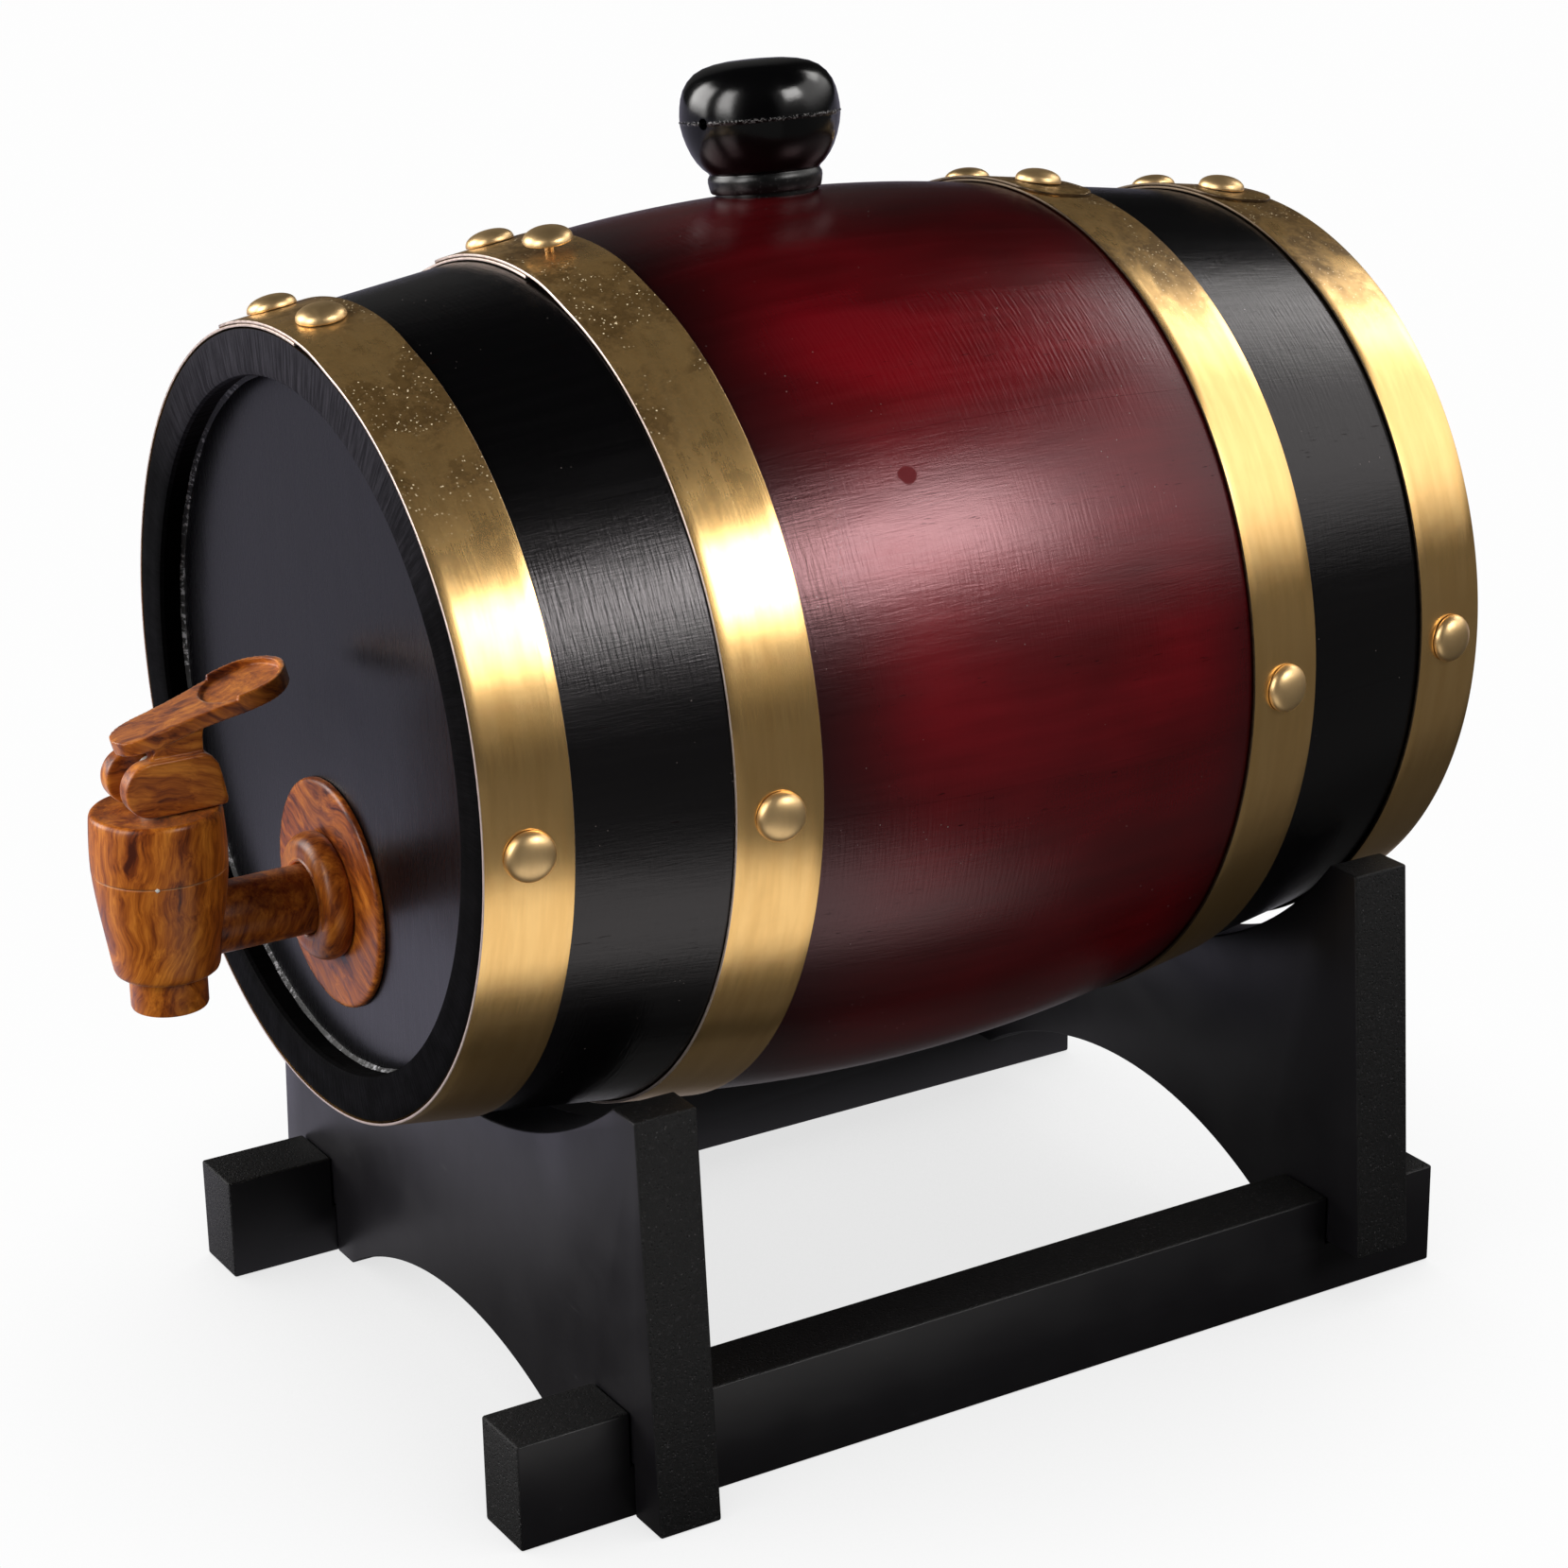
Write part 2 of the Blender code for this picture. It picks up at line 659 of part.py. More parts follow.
def build_spring():
    """A wire helix between the stem flange and the bonnet, capped at both ends."""
    turns = 7
    per_turn = 14
    wire = 0.45
    coil = 4.6
    bottom = -37.8
    top = -15.9
    points = []
    rows = []
    count = turns * per_turn
    pitch = (top - bottom) / turns
    climb = math.atan2(pitch, 2.0 * math.pi * coil)
    for step in range(count + 1):
        turn = 2.0 * math.pi * step / per_turn
        outward = (math.cos(turn), math.sin(turn), 0.0)
        upward = (math.sin(turn) * math.sin(climb), -math.cos(turn) * math.sin(climb), math.cos(climb))
        centre = (coil * outward[0], TAP_Y + coil * outward[1], level(bottom) + pitch * step / per_turn)
        row = []
        for side in range(6):
            spin = math.radians(60.0 * side)
            points.append(tuple(
                centre[i] + wire * (math.cos(spin) * outward[i] + math.sin(spin) * upward[i])
                for i in range(3)
            ))
            row.append(len(points) - 1)
        rows.append(row)
    faces = [rows[0][::-1], rows[-1][:]]
    for low, high in zip(rows, rows[1:]):
        for side in range(6):
            after = (side + 1) % 6
            faces.append([low[side], low[after], high[after], high[side]])
    tagged(add_mesh("tap_spring", points, faces, "steel"), "steel")


def tilt(item, degrees, y, z):
    """Turn a helper about the line through y, z that runs along x."""
    turn = math.radians(degrees)
    centre_y = (y + LENGTH_SHIFT) * MM
    centre_z = z * MM
    for vertex in item.data.vertices:
        across = vertex.co.y - centre_y
        height = vertex.co.z - centre_z
        vertex.co.y = centre_y + across * math.cos(turn) - height * math.sin(turn)
        vertex.co.z = centre_z + across * math.sin(turn) + height * math.cos(turn)


def build_lever():
    """Thumb paddle with a rimmed dish, neck and two cam cheeks moulded in one."""
    side = [(-143.3, -10.3), (-142.6, -9.4), (-143.6, -4.0), (-144.3, -1.2), (-145.6, 0.6), (-147.0, 1.5)]
    side += arc((-158.9, -4.4), 5.9, 90.0, 270.0, 11)
    outline = [(y, level(z)) for y, z in side]
    lever = prism("tap_lever", outline, "x", -LEVER_HALF, LEVER_HALF, "grain")
    side = [(-146.9, 0.5), (-146.9, 5.0), (-146.0, 8.6), (-157.0, 5.8), (-157.4, 3.2), (-159.0, 0.8)]
    outline = [(y, level(z)) for y, z in side]
    combine(lever, prism("neck", outline, "x", -NECK_HALF, NECK_HALF, "grain"), "UNION")
    tip_y, tip_z = PADDLE_TIP
    top = level(tip_z)
    widths = [(0.0, 0.0), (0.4, 2.2), (1.2, 3.7), (3.0, 5.2), (5.2, 6.0), (8.7, 6.4), (13.6, 6.6)]
    widths += [(17.3, 7.0), (21.7, 7.75), (25.6, 8.6)]
    pad = [(25.6, 8.6), (28.0, 9.0), (31.0, 9.05), (34.0, 8.3), (36.4, 6.7), (38.4, 4.2), (39.4, 1.9)]
    pad += [(39.6, 0.0)]
    for name, shape, height in (("paddle", widths + pad[1:], 0.0), ("rim", pad, PADDLE_RIM)):
        outline = [(half, tip_y + along) for along, half in shape]
        outline += [(-half, tip_y + along) for along, half in shape[::-1] if half > 0.0]
        slab = prism(name, outline, "z", top - PADDLE_THICKNESS, top + height, "grain")
        tilt(slab, PADDLE_TILT, tip_y, top)
        combine(lever, slab, "UNION")
    dish = arc((0.0, tip_y + 30.3), 8.1, 0.0, 180.0, 12)
    dish += arc((0.0, tip_y + 28.8), 8.1, 180.0, 360.0, 12)
    hollow = prism("hollow", dish, "z", top - 1.0, top + 4.0, "grain")
    tilt(hollow, 1.6, tip_y + 20.7, top - 1.0)
    tilt(hollow, PADDLE_TILT, tip_y, top)
    combine(lever, hollow, "DIFFERENCE")
    slot = [(-175.0, level(-14.0)), (-148.6, level(-14.0)), (-148.6, level(1.9)), (-175.0, level(1.9))]
    combine(lever, prism("slot", slot, "x", -SLOT_HALF, SLOT_HALF, "grain"), "DIFFERENCE")
    deep = PIN_HALF + 0.4
    socket = [(0.0, -deep), (PIN_RADIUS + 0.2, -deep), (PIN_RADIUS + 0.2, deep), (0.0, deep)]
    pin_line = (0, TAP_Y, level(PIN_Z))
    cutter = lathe("socket_cutter", socket, pin_line, "x", "grain", 12, False)
    combine(lever, cutter, "DIFFERENCE")


# --- stand -----------------------------------------------------------------------

def build_board(name, front_y, foot, touch_y):
    """A cradle board: horns at the top corners, saddle between them, arch below."""
    top = foot + BOARD_HEIGHT
    saddle_low = AXIS_HEIGHT - outer_radius(touch_y) - GAP
    depth = top - saddle_low
    saddle = (HORN_INNER_X ** 2 + depth ** 2) / (2.0 * depth)
    swing = math.degrees(math.asin(HORN_INNER_X / saddle))
    arch = (ARCH_HALF ** 2 + ARCH_RISE ** 2) / (2.0 * ARCH_RISE)
    arch_swing = math.degrees(math.asin(ARCH_HALF / arch))
    outline = [(-BOARD_FOOT_HALF, foot), (-ARCH_HALF, foot)]
    outline += arc((0.0, foot + ARCH_RISE - arch), arch, 90.0 + arch_swing, 90.0 - arch_swing, 14)[1:-1]
    outline += [(ARCH_HALF, foot), (BOARD_FOOT_HALF, foot), (BOARD_TOP_HALF, top)]
    outline += arc((0.0, saddle_low + saddle), saddle, 270.0 + swing, 270.0 - swing, 28)
    outline += [(-BOARD_TOP_HALF, top)]
    return prism(name, outline, "y", front_y, front_y + BOARD_THICKNESS, "black")


def build_stand():
    front = build_board("front_cradle_board", FRONT_BOARD_Y, 0.0, FRONT_BOARD_Y + BOARD_THICKNESS)
    build_board("rear_cradle_board", REAR_BOARD_Y, REAR_BOARD_FOOT, REAR_BOARD_Y)
    inner = RAIL_OUTER_X - RAIL_WIDTH
    for side, name in ((-1.0, "left_rail"), (1.0, "right_rail")):
        low, high = sorted((side * inner, side * RAIL_OUTER_X))
        notch = [(low - GAP, -5.0), (high + GAP, -5.0), (high + GAP, LAP_HEIGHT), (low - GAP, LAP_HEIGHT)]
        cutter = prism("lap_cutter", notch, "y", FRONT_BOARD_Y - 5.0, FRONT_BOARD_Y + 25.0, "black")
        combine(front, cutter, "DIFFERENCE")
        ends = [
            (-RAIL_HALF_LENGTH, 0.0),
            (RAIL_HALF_LENGTH, 0.0),
            (RAIL_HALF_LENGTH, RAIL_HEIGHT),
            (REAR_BOARD_Y + BOARD_THICKNESS + GAP, RAIL_HEIGHT),
            (REAR_BOARD_Y + BOARD_THICKNESS + GAP, REAR_BOARD_FOOT - GAP),
            (REAR_BOARD_Y - GAP, REAR_BOARD_FOOT - GAP),
            (REAR_BOARD_Y - GAP, RAIL_HEIGHT),
            (FRONT_BOARD_Y + BOARD_THICKNESS + GAP, RAIL_HEIGHT),
            (FRONT_BOARD_Y + BOARD_THICKNESS + GAP, LAP_HEIGHT - GAP),
            (FRONT_BOARD_Y - GAP, LAP_HEIGHT - GAP),
            (FRONT_BOARD_Y - GAP, RAIL_HEIGHT),
            (-RAIL_HALF_LENGTH, RAIL_HEIGHT),
        ]
        prism(name, ends, "x", low, high, "black")


def main():
    clear_scene()
    staves = build_staves()
    build_heads()
    build_hoops_and_nails(staves)
    build_bung()
    build_tap_body()
    build_tap_collars()
    build_tap_valve()
    build_spring()
    build_lever()
    build_stand()


main()
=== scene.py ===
import math
from math import asin, copysign, cos, pi, radians, sin, sqrt

import bmesh
import bpy
from mathutils import Matrix, Vector, noise


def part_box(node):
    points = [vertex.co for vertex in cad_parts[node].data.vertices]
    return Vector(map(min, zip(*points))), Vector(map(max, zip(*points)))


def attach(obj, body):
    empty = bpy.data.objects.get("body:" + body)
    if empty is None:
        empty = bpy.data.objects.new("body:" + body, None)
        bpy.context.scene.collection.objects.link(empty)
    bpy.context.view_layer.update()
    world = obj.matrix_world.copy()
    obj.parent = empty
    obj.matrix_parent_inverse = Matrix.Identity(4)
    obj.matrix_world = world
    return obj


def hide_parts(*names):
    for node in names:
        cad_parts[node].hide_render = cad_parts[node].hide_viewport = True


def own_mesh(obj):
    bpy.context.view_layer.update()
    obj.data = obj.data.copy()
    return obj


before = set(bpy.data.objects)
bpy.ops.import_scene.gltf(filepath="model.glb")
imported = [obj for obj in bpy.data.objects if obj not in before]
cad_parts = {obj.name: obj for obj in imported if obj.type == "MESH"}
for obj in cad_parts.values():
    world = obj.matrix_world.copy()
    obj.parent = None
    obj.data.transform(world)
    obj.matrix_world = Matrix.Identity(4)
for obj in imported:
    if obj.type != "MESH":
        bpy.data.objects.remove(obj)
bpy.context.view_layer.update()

MM = 0.001

# ---- Sizes, in millimetres unless said otherwise.
# y is measured from the middle of the barrel and z from the floor.
STAVE_LOW, STAVE_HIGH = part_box("stave_05")
HEAD_LOW, HEAD_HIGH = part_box("front_head")
MIDDLE_Y = (STAVE_LOW.y + STAVE_HIGH.y) / 2  # in metres
AXIS_Z = (HEAD_LOW.z + HEAD_HIGH.z) / 2 / MM
HALF_LENGTH = (STAVE_HIGH.y - STAVE_LOW.y) / 2 / MM
BELLY = STAVE_HIGH.x / MM
BELLY_TOP = AXIS_Z + BELLY
BELLY_CURVE = 0.00142
CURVED_HALF = 50
END_SLOPE = 2 * BELLY_CURVE * CURVED_HALF
STAVE_COUNT = 16
STAVE_THICKNESS = 10
STAVE_GAP = 0.012
HEAD_RECESS = 6
HEAD_THICKNESS = 8
HEAD_FIT = 0.12
TONGUE_DEPTH = 3.1
GROOVE_DEPTH = 3.5
GROOVE_INSET = 1.8
OUTER_FACE, END_FACE, INNER_FACE, SIDE_FACE = range(4)

HOOP_THICKNESS = 0.6
HOOP_FIT = 0.25
HOOP_CORNER = 7
HOOP_EDGES = {
    "front_end_hoop": (-123.5, -105.05),
    "front_bilge_hoop": (-71.9, -53.4),
    "rear_bilge_hoop": (53.4, 71.9),
    "rear_end_hoop": (105.05, 123.5),
}
# Half width and height of points round a strip, as shares of its half width and thickness.
STRIP_SHAPE = [(-1, 0.12), (-1, 0.84), (-0.994, 0.96), (-0.985, 1)]
STRIP_SHAPE += [(share / 4, 1) for share in range(-3, 4)]
STRIP_SHAPE += [(0.985, 1), (0.994, 0.96), (1, 0.84), (1, 0.12), (0.985, 0), (-0.985, 0)]
STRIP_SIDES = (0, 1, 2, 12, 13, 14)
# Angles from the top, in degrees.  The front hoops lap the other way round.
LAP_END = 8
INNER_END = -22
LAP_HOLD = -24
LAP_DROP = -34
LAP_MIRROR = -15
LAP_LIFT = HOOP_THICKNESS + 0.15
FRONT_NAIL_ANGLES = {"a": 2.3, "b": -14, "c": 92, "d": -90}
REAR_NAIL_ANGLES = {"a": 0.5, "b": -17, "c": 90, "d": -90}
NAIL_RADIUS = 5.3
NAIL_RISE = 2.45
PROUD_NAIL = "front_bilge_nail_a"

BUNG_TURN = -7.5  # in degrees
BUNG_SEAM = 16.2
TAP_Y = -156.1
TAP_CENTRE = (0, TAP_Y, AXIS_Z)
CUP_JOINT = -23.48
SHANK_LINE = (0, 0, AXIS_Z - 37.5)
SHANK_RADIUS = 7.5
SHANK_HOLE = 7.8
PIN_LINE = (0, TAP_Y, AXIS_Z - 4)
PIN_HOLE = 1.2
SLOT_HALF = 3.15

BOARD_FOOT_HALF = 92.3
BOARD_TOP_HALF = 86.5
SADDLE_HALF = 77.5
ARCH_HALF = 57
ARCH_RISE = 16.5
NOTCH_SIDES = (64.7, 81.3)
NOTCH_RISE = 12.2
STAND_FIT = 0.3


def place(point):
    """A point in the shared frame, in metres."""
    return Vector((point[0] * MM, point[1] * MM + MIDDLE_Y, point[2] * MM))


def outer_radius(y):
    y = abs(y)
    if y <= CURVED_HALF:
        return BELLY - BELLY_CURVE * y * y
    return BELLY - BELLY_CURVE * CURVED_HALF ** 2 - END_SLOPE * (y - CURVED_HALF)


def inner_radius(y):
    return outer_radius(y) - STAVE_THICKNESS


def around(radius, degrees, y):
    """A point at an angle clockwise of the top, seen from the tap end."""
    turn = radians(degrees)
    return (radius * sin(turn), y, AXIS_Z + radius * cos(turn))


def arc(centre, radius, start, end, steps):
    found = []
    for step in range(steps + 1):
        turn = radians(start + (end - start) * step / steps)
        found.append((centre[0] + radius * cos(turn), centre[1] + radius * sin(turn)))
    return found


# ---- Node helpers
def arithmetic(operation, swapped=False):
    """A method for an arithmetic sign, which adds a math node."""
    def method(self, other=0):
        return self.shader.math(operation, *((other, self) if swapped else (self, other)))
    return method


class Value:
    """A node's output, with ordinary arithmetic."""

    def __init__(self, shader, socket):
        self.shader = shader
        self.socket = socket

    __add__ = arithmetic("ADD")
    __sub__ = arithmetic("SUBTRACT")
    __rsub__ = arithmetic("SUBTRACT", True)
    __mul__ = arithmetic("MULTIPLY")
    __truediv__ = arithmetic("DIVIDE")
    __abs__ = arithmetic("ABSOLUTE")


class Shader:
    """A material, with short names for the nodes used here."""

    def __init__(self, name):
        self.material = bpy.data.materials.new(name)
        self.material.use_nodes = True
        self.tree = self.material.node_tree

    def feed(self, socket, value):
        """Link a value to an input, or set it to a number, a vector or a colour."""
        if isinstance(value, Value):
            value = value.socket
        if isinstance(value, bpy.types.NodeSocket):
            self.tree.links.new(value, socket)
            return
        if socket.type == "RGBA":
            value = (*value, 1)
        socket.default_value = value

    def node(self, kind, inputs=None, **settings):
        made = self.tree.nodes.new(kind)
        for key, value in settings.items():
            setattr(made, key, value)
        for key, value in (inputs or {}).items():
            self.feed(made.inputs[key], value)
        return made

    def value(self, kind, output, inputs=None, **settings):
        return Value(self, self.node(kind, inputs, **settings).outputs[output])

    def math(self, operation, first, second=0, clamp=False):
        return self.value("ShaderNodeMath", 0, {0: first, 1: second}, operation=operation, use_clamp=clamp)

    def distance(self, first, second):
        return self.math("SQRT", first * first + second * second)

    def position(self):
        return self.value("ShaderNodeTexCoord", "Object")

    def parts(self, vector):
        made = self.node("ShaderNodeSeparateXYZ", {0: vector})
        return [Value(self, socket) for socket in made.outputs]

    def vector(self, x, y, z=0):
        return self.value("ShaderNodeCombineXYZ", 0, {0: x, 1: y, 2: z})

    def vector_math(self, operation, first, second):
        return self.value("ShaderNodeVectorMath", 0, {0: first, 1: second}, operation=operation)

    def noise(self, vector, scale, detail=3, rough=0.5, distort=0, output="Fac"):
        return self.value("ShaderNodeTexNoise", output, {
            "Vector": vector, "Scale": scale, "Detail": detail, "Roughness": rough, "Distortion": distort})

    def cells(self, vector, scale):
        return self.value("ShaderNodeTexVoronoi", "Distance", {"Vector": vector, "Scale": scale})

    def spread(self, value, low, high, out_low=0, out_high=1, kind="SMOOTHSTEP"):
        """Go from one result to the other as the value goes from low to high."""
        inputs = dict(enumerate((value, low, high, out_low, out_high)))
        return self.value("ShaderNodeMapRange", 0, inputs, interpolation_type=kind)

    def ramp(self, value, stops):
        made = self.node("ShaderNodeValToRGB", {0: value})
        bar = made.color_ramp
        while len(bar.elements) < len(stops):
            bar.elements.new(0.5)
        for element, (position, colour) in zip(bar.elements, stops):
            element.position = position
            element.color = (*colour, 1)
        return Value(self, made.outputs[0])

    def mix(self, factor, first, second):
        return self.value("ShaderNodeMix", 2, {0: factor, 6: first, 7: second}, data_type="RGBA")

    def bump(self, height, distance, strength=1, normal=None):
        inputs = {"Height": height, "Distance": distance, "Strength": strength}
        if normal is not None:
            inputs["Normal"] = normal
        return self.value("ShaderNodeBump", 0, inputs)

    def finish(self, **inputs):
        surface = self.tree.nodes["Principled BSDF"]
        for key, value in inputs.items():
            self.feed(surface.inputs[key.replace("_", " ").title().replace("Ior", "IOR")], value)
        return self.material

    def split(self, other, seen, output):
        """Give the camera one shader and every other ray the other."""
        path = self.node("ShaderNodeLightPath")
        mix = self.node("ShaderNodeMixShader", {
            0: path.outputs["Is Camera Ray"], 1: other.outputs[0], 2: seen.outputs[0]})
        self.feed(self.tree.nodes[output].inputs[0], mix.outputs[0])


# ---- Materials.  Lengths in them are in metres.
ARC_RADIUS = 0.09
BAND_EDGE = (0.0525, 0.0555)
RED_MIDDLE = 0.005
MARK_ANGLE, MARK_HALF_ANGLE = radians(54.3), 0.021
MARK_ALONG, MARK_HALF_LENGTH = 0.0232, 0.0021


def wrapped(s):
    """Barrel coordinates: angle from the top, arc length, length along the barrel, radius."""
    x, y, z = s.parts(s.position())
    up = z - AXIS_Z * MM
    angle = s.math("ARCTAN2", x, up)
    return angle, angle * ARC_RADIUS, y - MIDDLE_Y, s.distance(x, up)


def stave_material():
    """Lacquer, red in the middle and black beyond the bilge hoops, over fine open grain."""
    s = Shader("lacquered_staves")
    space = s.position()
    angle, across, along, _ = wrapped(s)
    length = abs(along)
    side = abs(angle)
    streak_space = s.vector(across, along * 0.05)
    patch_space = s.vector(across, along * 0.45)
    streaks = s.noise(streak_space, 420, 5, 0.62)
    wide_streaks = s.noise(streak_space, 90, 3, 0.55)
    patches = s.noise(patch_space, 26, 3, 0.55)
    black_band = s.spread(length, *BAND_EDGE)

    edge = abs(along - RED_MIDDLE) + (wide_streaks - 0.5) * 0.012 + (patches - 0.5) * 0.014
    red = s.ramp(patches * 0.84 + streaks * 0.16, [
        (0.36, (0.058, 0.0003, 0.0012)),
        (0.5, (0.104, 0.0005, 0.0028)),
        (0.63, (0.165, 0.0012, 0.005)),
    ])
    colour = s.mix(s.spread(edge, 0.03, 0.06), red, (0.022, 0.0008, 0.0014))
    # Painted shade: the red is darkened towards the top and down the lower side of the barrel.
    strength = s.spread(side, radians(8), radians(44), 0.34, 1)
    strength = strength * s.spread(side, radians(58), radians(112), 1, 0.55)
    colour = s.mix(strength, (0, 0, 0), colour)

    # A dried drip on the belly, with a ragged outline.
    mark_u = (angle - MARK_ANGLE) / MARK_HALF_ANGLE
    mark_v = (along + MARK_ALONG) / MARK_HALF_LENGTH
    mark = mark_u * mark_u + mark_v * mark_v + (s.noise(patch_space, 420) - 0.5) * 1.4
    mark = s.spread(mark, 1.25, 0.75)
    colour = s.mix(mark, colour, (0.12, 0.006, 0.009))
    colour = s.mix(black_band, colour, (0.0009, 0.0009, 0.0011))

    pores = s.noise(s.vector(across, along * 0.1), 2100, 2, 0.6)
    pores = s.spread(pores, 0.64, 0.72) * s.spread(wide_streaks, 0.5, 0.62)
    colour = s.mix(pores * 0.8, colour, (0.004, 0.0002, 0.0003))
    dust = s.spread(s.cells(space, 420), 0.075, 0.03) * s.spread(s.noise(space, 60), 0.52, 0.6)
    colour = s.mix(dust, colour, (0.2, 0.17, 0.16))

    fine = s.noise(s.vector(across, along * 0.09), 1500, 4, 0.7)
    ripple = s.noise(s.vector(across * 0.1, along), 1500, 2, 0.5) * s.spread(patches, 0.34, 0.56)
    height = fine * 0.9 + streaks * 0.22 + ripple * 1.5 - pores * 0.12
    normal = s.bump(height, 0.00006, 0.75)
    waves = s.noise(s.vector(across, along * 0.35), 55, 2, 0.5)
    normal = s.bump(waves, 0.0006, 0.35, normal)

    rough = s.spread(length, *BAND_EDGE, 0.25, 0.235) + s.spread(streaks, 0.35, 0.7, -0.015, 0.02)
    rough = rough + mark * 0.25
    red_gloss = s.spread(along, -0.01, 0.045, 0.92, 0.56)
    black_gloss = s.spread(along, -0.04, 0.05, 0.56, 0.41)
    gloss = red_gloss + black_band * (black_gloss - red_gloss)
    gloss = gloss * (1 - mark * 0.8) * (1 - pores * 0.75)
    tint = s.mix(black_band, (1, 0.56, 0.6), (1, 0.94, 0.97))
    return s.finish(base_color=colour, roughness=rough, specular_ior_level=gloss, specular_tint=tint,
                    normal=normal)


def rim_material():
    """Black paint over sawn end grain: fine lines that run outwards, with painted light making the top paler.
    """
    s = Shader("painted_end_grain")
    angle, _, _, reach = wrapped(s)
    rays = s.noise(s.vector(angle * 0.08, reach * 0.06), 1400, 4, 0.65)
    wide = s.noise(s.vector(angle * 0.08, reach * 0.2), 170, 3, 0.6)
    blots = s.noise(s.position(), 130, 4, 0.6)
    colour = s.mix(s.spread(rays, 0.35, 0.75), (0.0004, 0.0004, 0.0005), (0.0022, 0.002, 0.0024))
    # Painted light: a paler copy of the end grain, mixed in towards the top of the rim.
    wear_and_painted_light = s.mix(s.spread(rays, 0.35, 0.72), (0.014, 0.0132, 0.0165), (0.042, 0.04, 0.048))
    colour = s.mix(s.spread(s.math("COSINE", angle), 0.45, 0.98), colour, wear_and_painted_light)
    normal = s.bump(rays + wide * 0.7 + blots * 0.4, 0.00022, 0.8)
    return s.finish(base_color=colour, roughness=s.spread(blots, 0.3, 0.7, 0.62, 0.78),
                    specular_ior_level=0.03, normal=normal)


def plain_material(name, scale, detail, noise_rough, colours, rough, bump=None, **more):
    """One soft noise that mixes two colours and sets the roughness and a fine bump."""
    s = Shader(name)
    soft = s.noise(s.position(), scale, detail, noise_rough)
    if isinstance(rough, tuple):
        rough = s.spread(soft, 0.3, 0.7, *rough)
    if bump:
        more["normal"] = s.bump(soft, *bump)
    return s.finish(base_color=s.mix(soft, *colours), roughness=rough, **more)


def inner_oak_material():
    s = Shader("bare_oak_inside")
    _, across, along, _ = wrapped(s)
    grain = s.noise(s.vector(across, along * 0.06), 500, 5, 0.6)
    colour = s.ramp(grain, [(0.3, (0.2, 0.11, 0.05)), (0.55, (0.34, 0.21, 0.11)), (0.75, (0.42, 0.28, 0.16))])
    return s.finish(base_color=colour, roughness=0.75, normal=s.bump(grain, 0.0003, 0.5))


def head_material():
    """Satin black paint, brushed across, with a few specks."""
    s = Shader("satin_black_head")
    space = s.position()
    x, _, z = s.parts(space)
    brushed = s.noise(s.vector(x, 0, z * 0.06), 900, 4, 0.6)
    soft = s.noise(space, 45, 2, 0.5)
    specks = s.spread(s.cells(space, 520), 0.1, 0.03)
    colour = s.mix(specks * 0.4, (0.0022, 0.0021, 0.0028), (0.03, 0.03, 0.032))
    normal = s.bump(brushed * 0.5 + specks * 0.5, 0.00005, 0.22)
    normal = s.bump(soft, 0.0006, 0.3, normal)
    return s.finish(base_color=colour, roughness=s.spread(brushed, 0.3, 0.7, 0.26, 0.3),
                    specular_ior_level=0.44, normal=normal)


def seam_material():
    """Cracked paint in the corner between head and staves."""
    s = Shader("cracked_paint")
    _, across, along, reach = wrapped(s)
    space = s.vector(across, along, reach)
    flakes = s.noise(space, 700, 4, 0.7)
    pale = s.spread(flakes, 0.5, 0.6) * s.spread(s.noise(space, 60, 2, 0.5), 0.42, 0.58)
    colour = s.mix(pale, (0.003, 0.003, 0.0035), (0.34, 0.34, 0.36))
    return s.finish(base_color=colour, roughness=0.6, normal=s.bump(flakes, 0.0003, 0.8))


def brass_material(name, hoop):
    """Brass with mottled brown tarnish, and painted glints: bright specks on the upper side of the hoops."""
    s = Shader(name)
    angle, across, along, reach = wrapped(s)
    space = s.vector(across, along, reach)
    brushed = s.noise(s.vector(across * 0.035, along), 2600, 4, 0.7)
    drawn = s.noise(s.vector(across * 0.12, along), 340, 3, 0.6)
    clouds = s.noise(space, 62, 4, 0.62, 0.5)
    blots = s.noise(s.vector_math("ADD", space, (0.3, 0.1, 0.2)), 150, 5, 0.7)
    grains = s.noise(space, 1300, 4, 0.75)
    film = s.spread(clouds, 0.45, 0.7, 0, 0.1)
    stain = s.spread(clouds, 0.36, 0.6) * 0.5 + s.spread(blots, 0.4, 0.62) * 0.5
    if hoop:
        high_side = s.math("COSINE", angle - radians(2)) - s.spread(along, -0.03, 0.05, 0, 0.15)
        high_side = s.spread(high_side, 0.58, 0.8)
        stain = s.math("ADD", stain * high_side, high_side * 0.22, clamp=True)
    else:
        stain = stain * 0.22
    clean = s.mix(s.spread(drawn, 0.3, 0.7), (0.97, 0.62, 0.248), (0.9, 0.555, 0.208))
    clean = s.mix(film, clean, (0.56, 0.33, 0.11))
    brown = s.mix(s.spread(blots, 0.38, 0.62), (0.055, 0.027, 0.007), (0.21, 0.124, 0.042))
    colour = s.mix(stain, clean, brown)
    metal = 0.95 - stain * 0.3
    rough = s.spread(brushed, 0.3, 0.75, 0.2, 0.25) + stain * 0.2 + film * 0.15
    normal = s.bump(brushed * 0.1 + drawn * 0.12 + grains * stain * 0.9, 0.00003, 0.7)
    if hoop:
        # Painted glints: pale specks of colour on the upper side of the hoops stand for sparkle.
        sparkle = s.spread(s.cells(space, 980), 0.25, 0.13)
        painted_glint = sparkle * high_side * s.spread(clouds, 0.47, 0.54) * s.spread(grains, 0.44, 0.54)
        colour = s.mix(painted_glint, colour, (1, 0.84, 0.55))
        metal = metal * (1 - painted_glint)
        dents = s.noise(s.vector(across, along), 75, 2, 0.5)
        normal = s.bump(dents, 0.0005, 0.14, normal)
    else:
        colour = s.mix(0.5, colour, (0.7, 0.53, 0.31))
        rough = rough + 0.15
    return s.finish(base_color=colour, metallic=metal, roughness=rough, normal=normal)


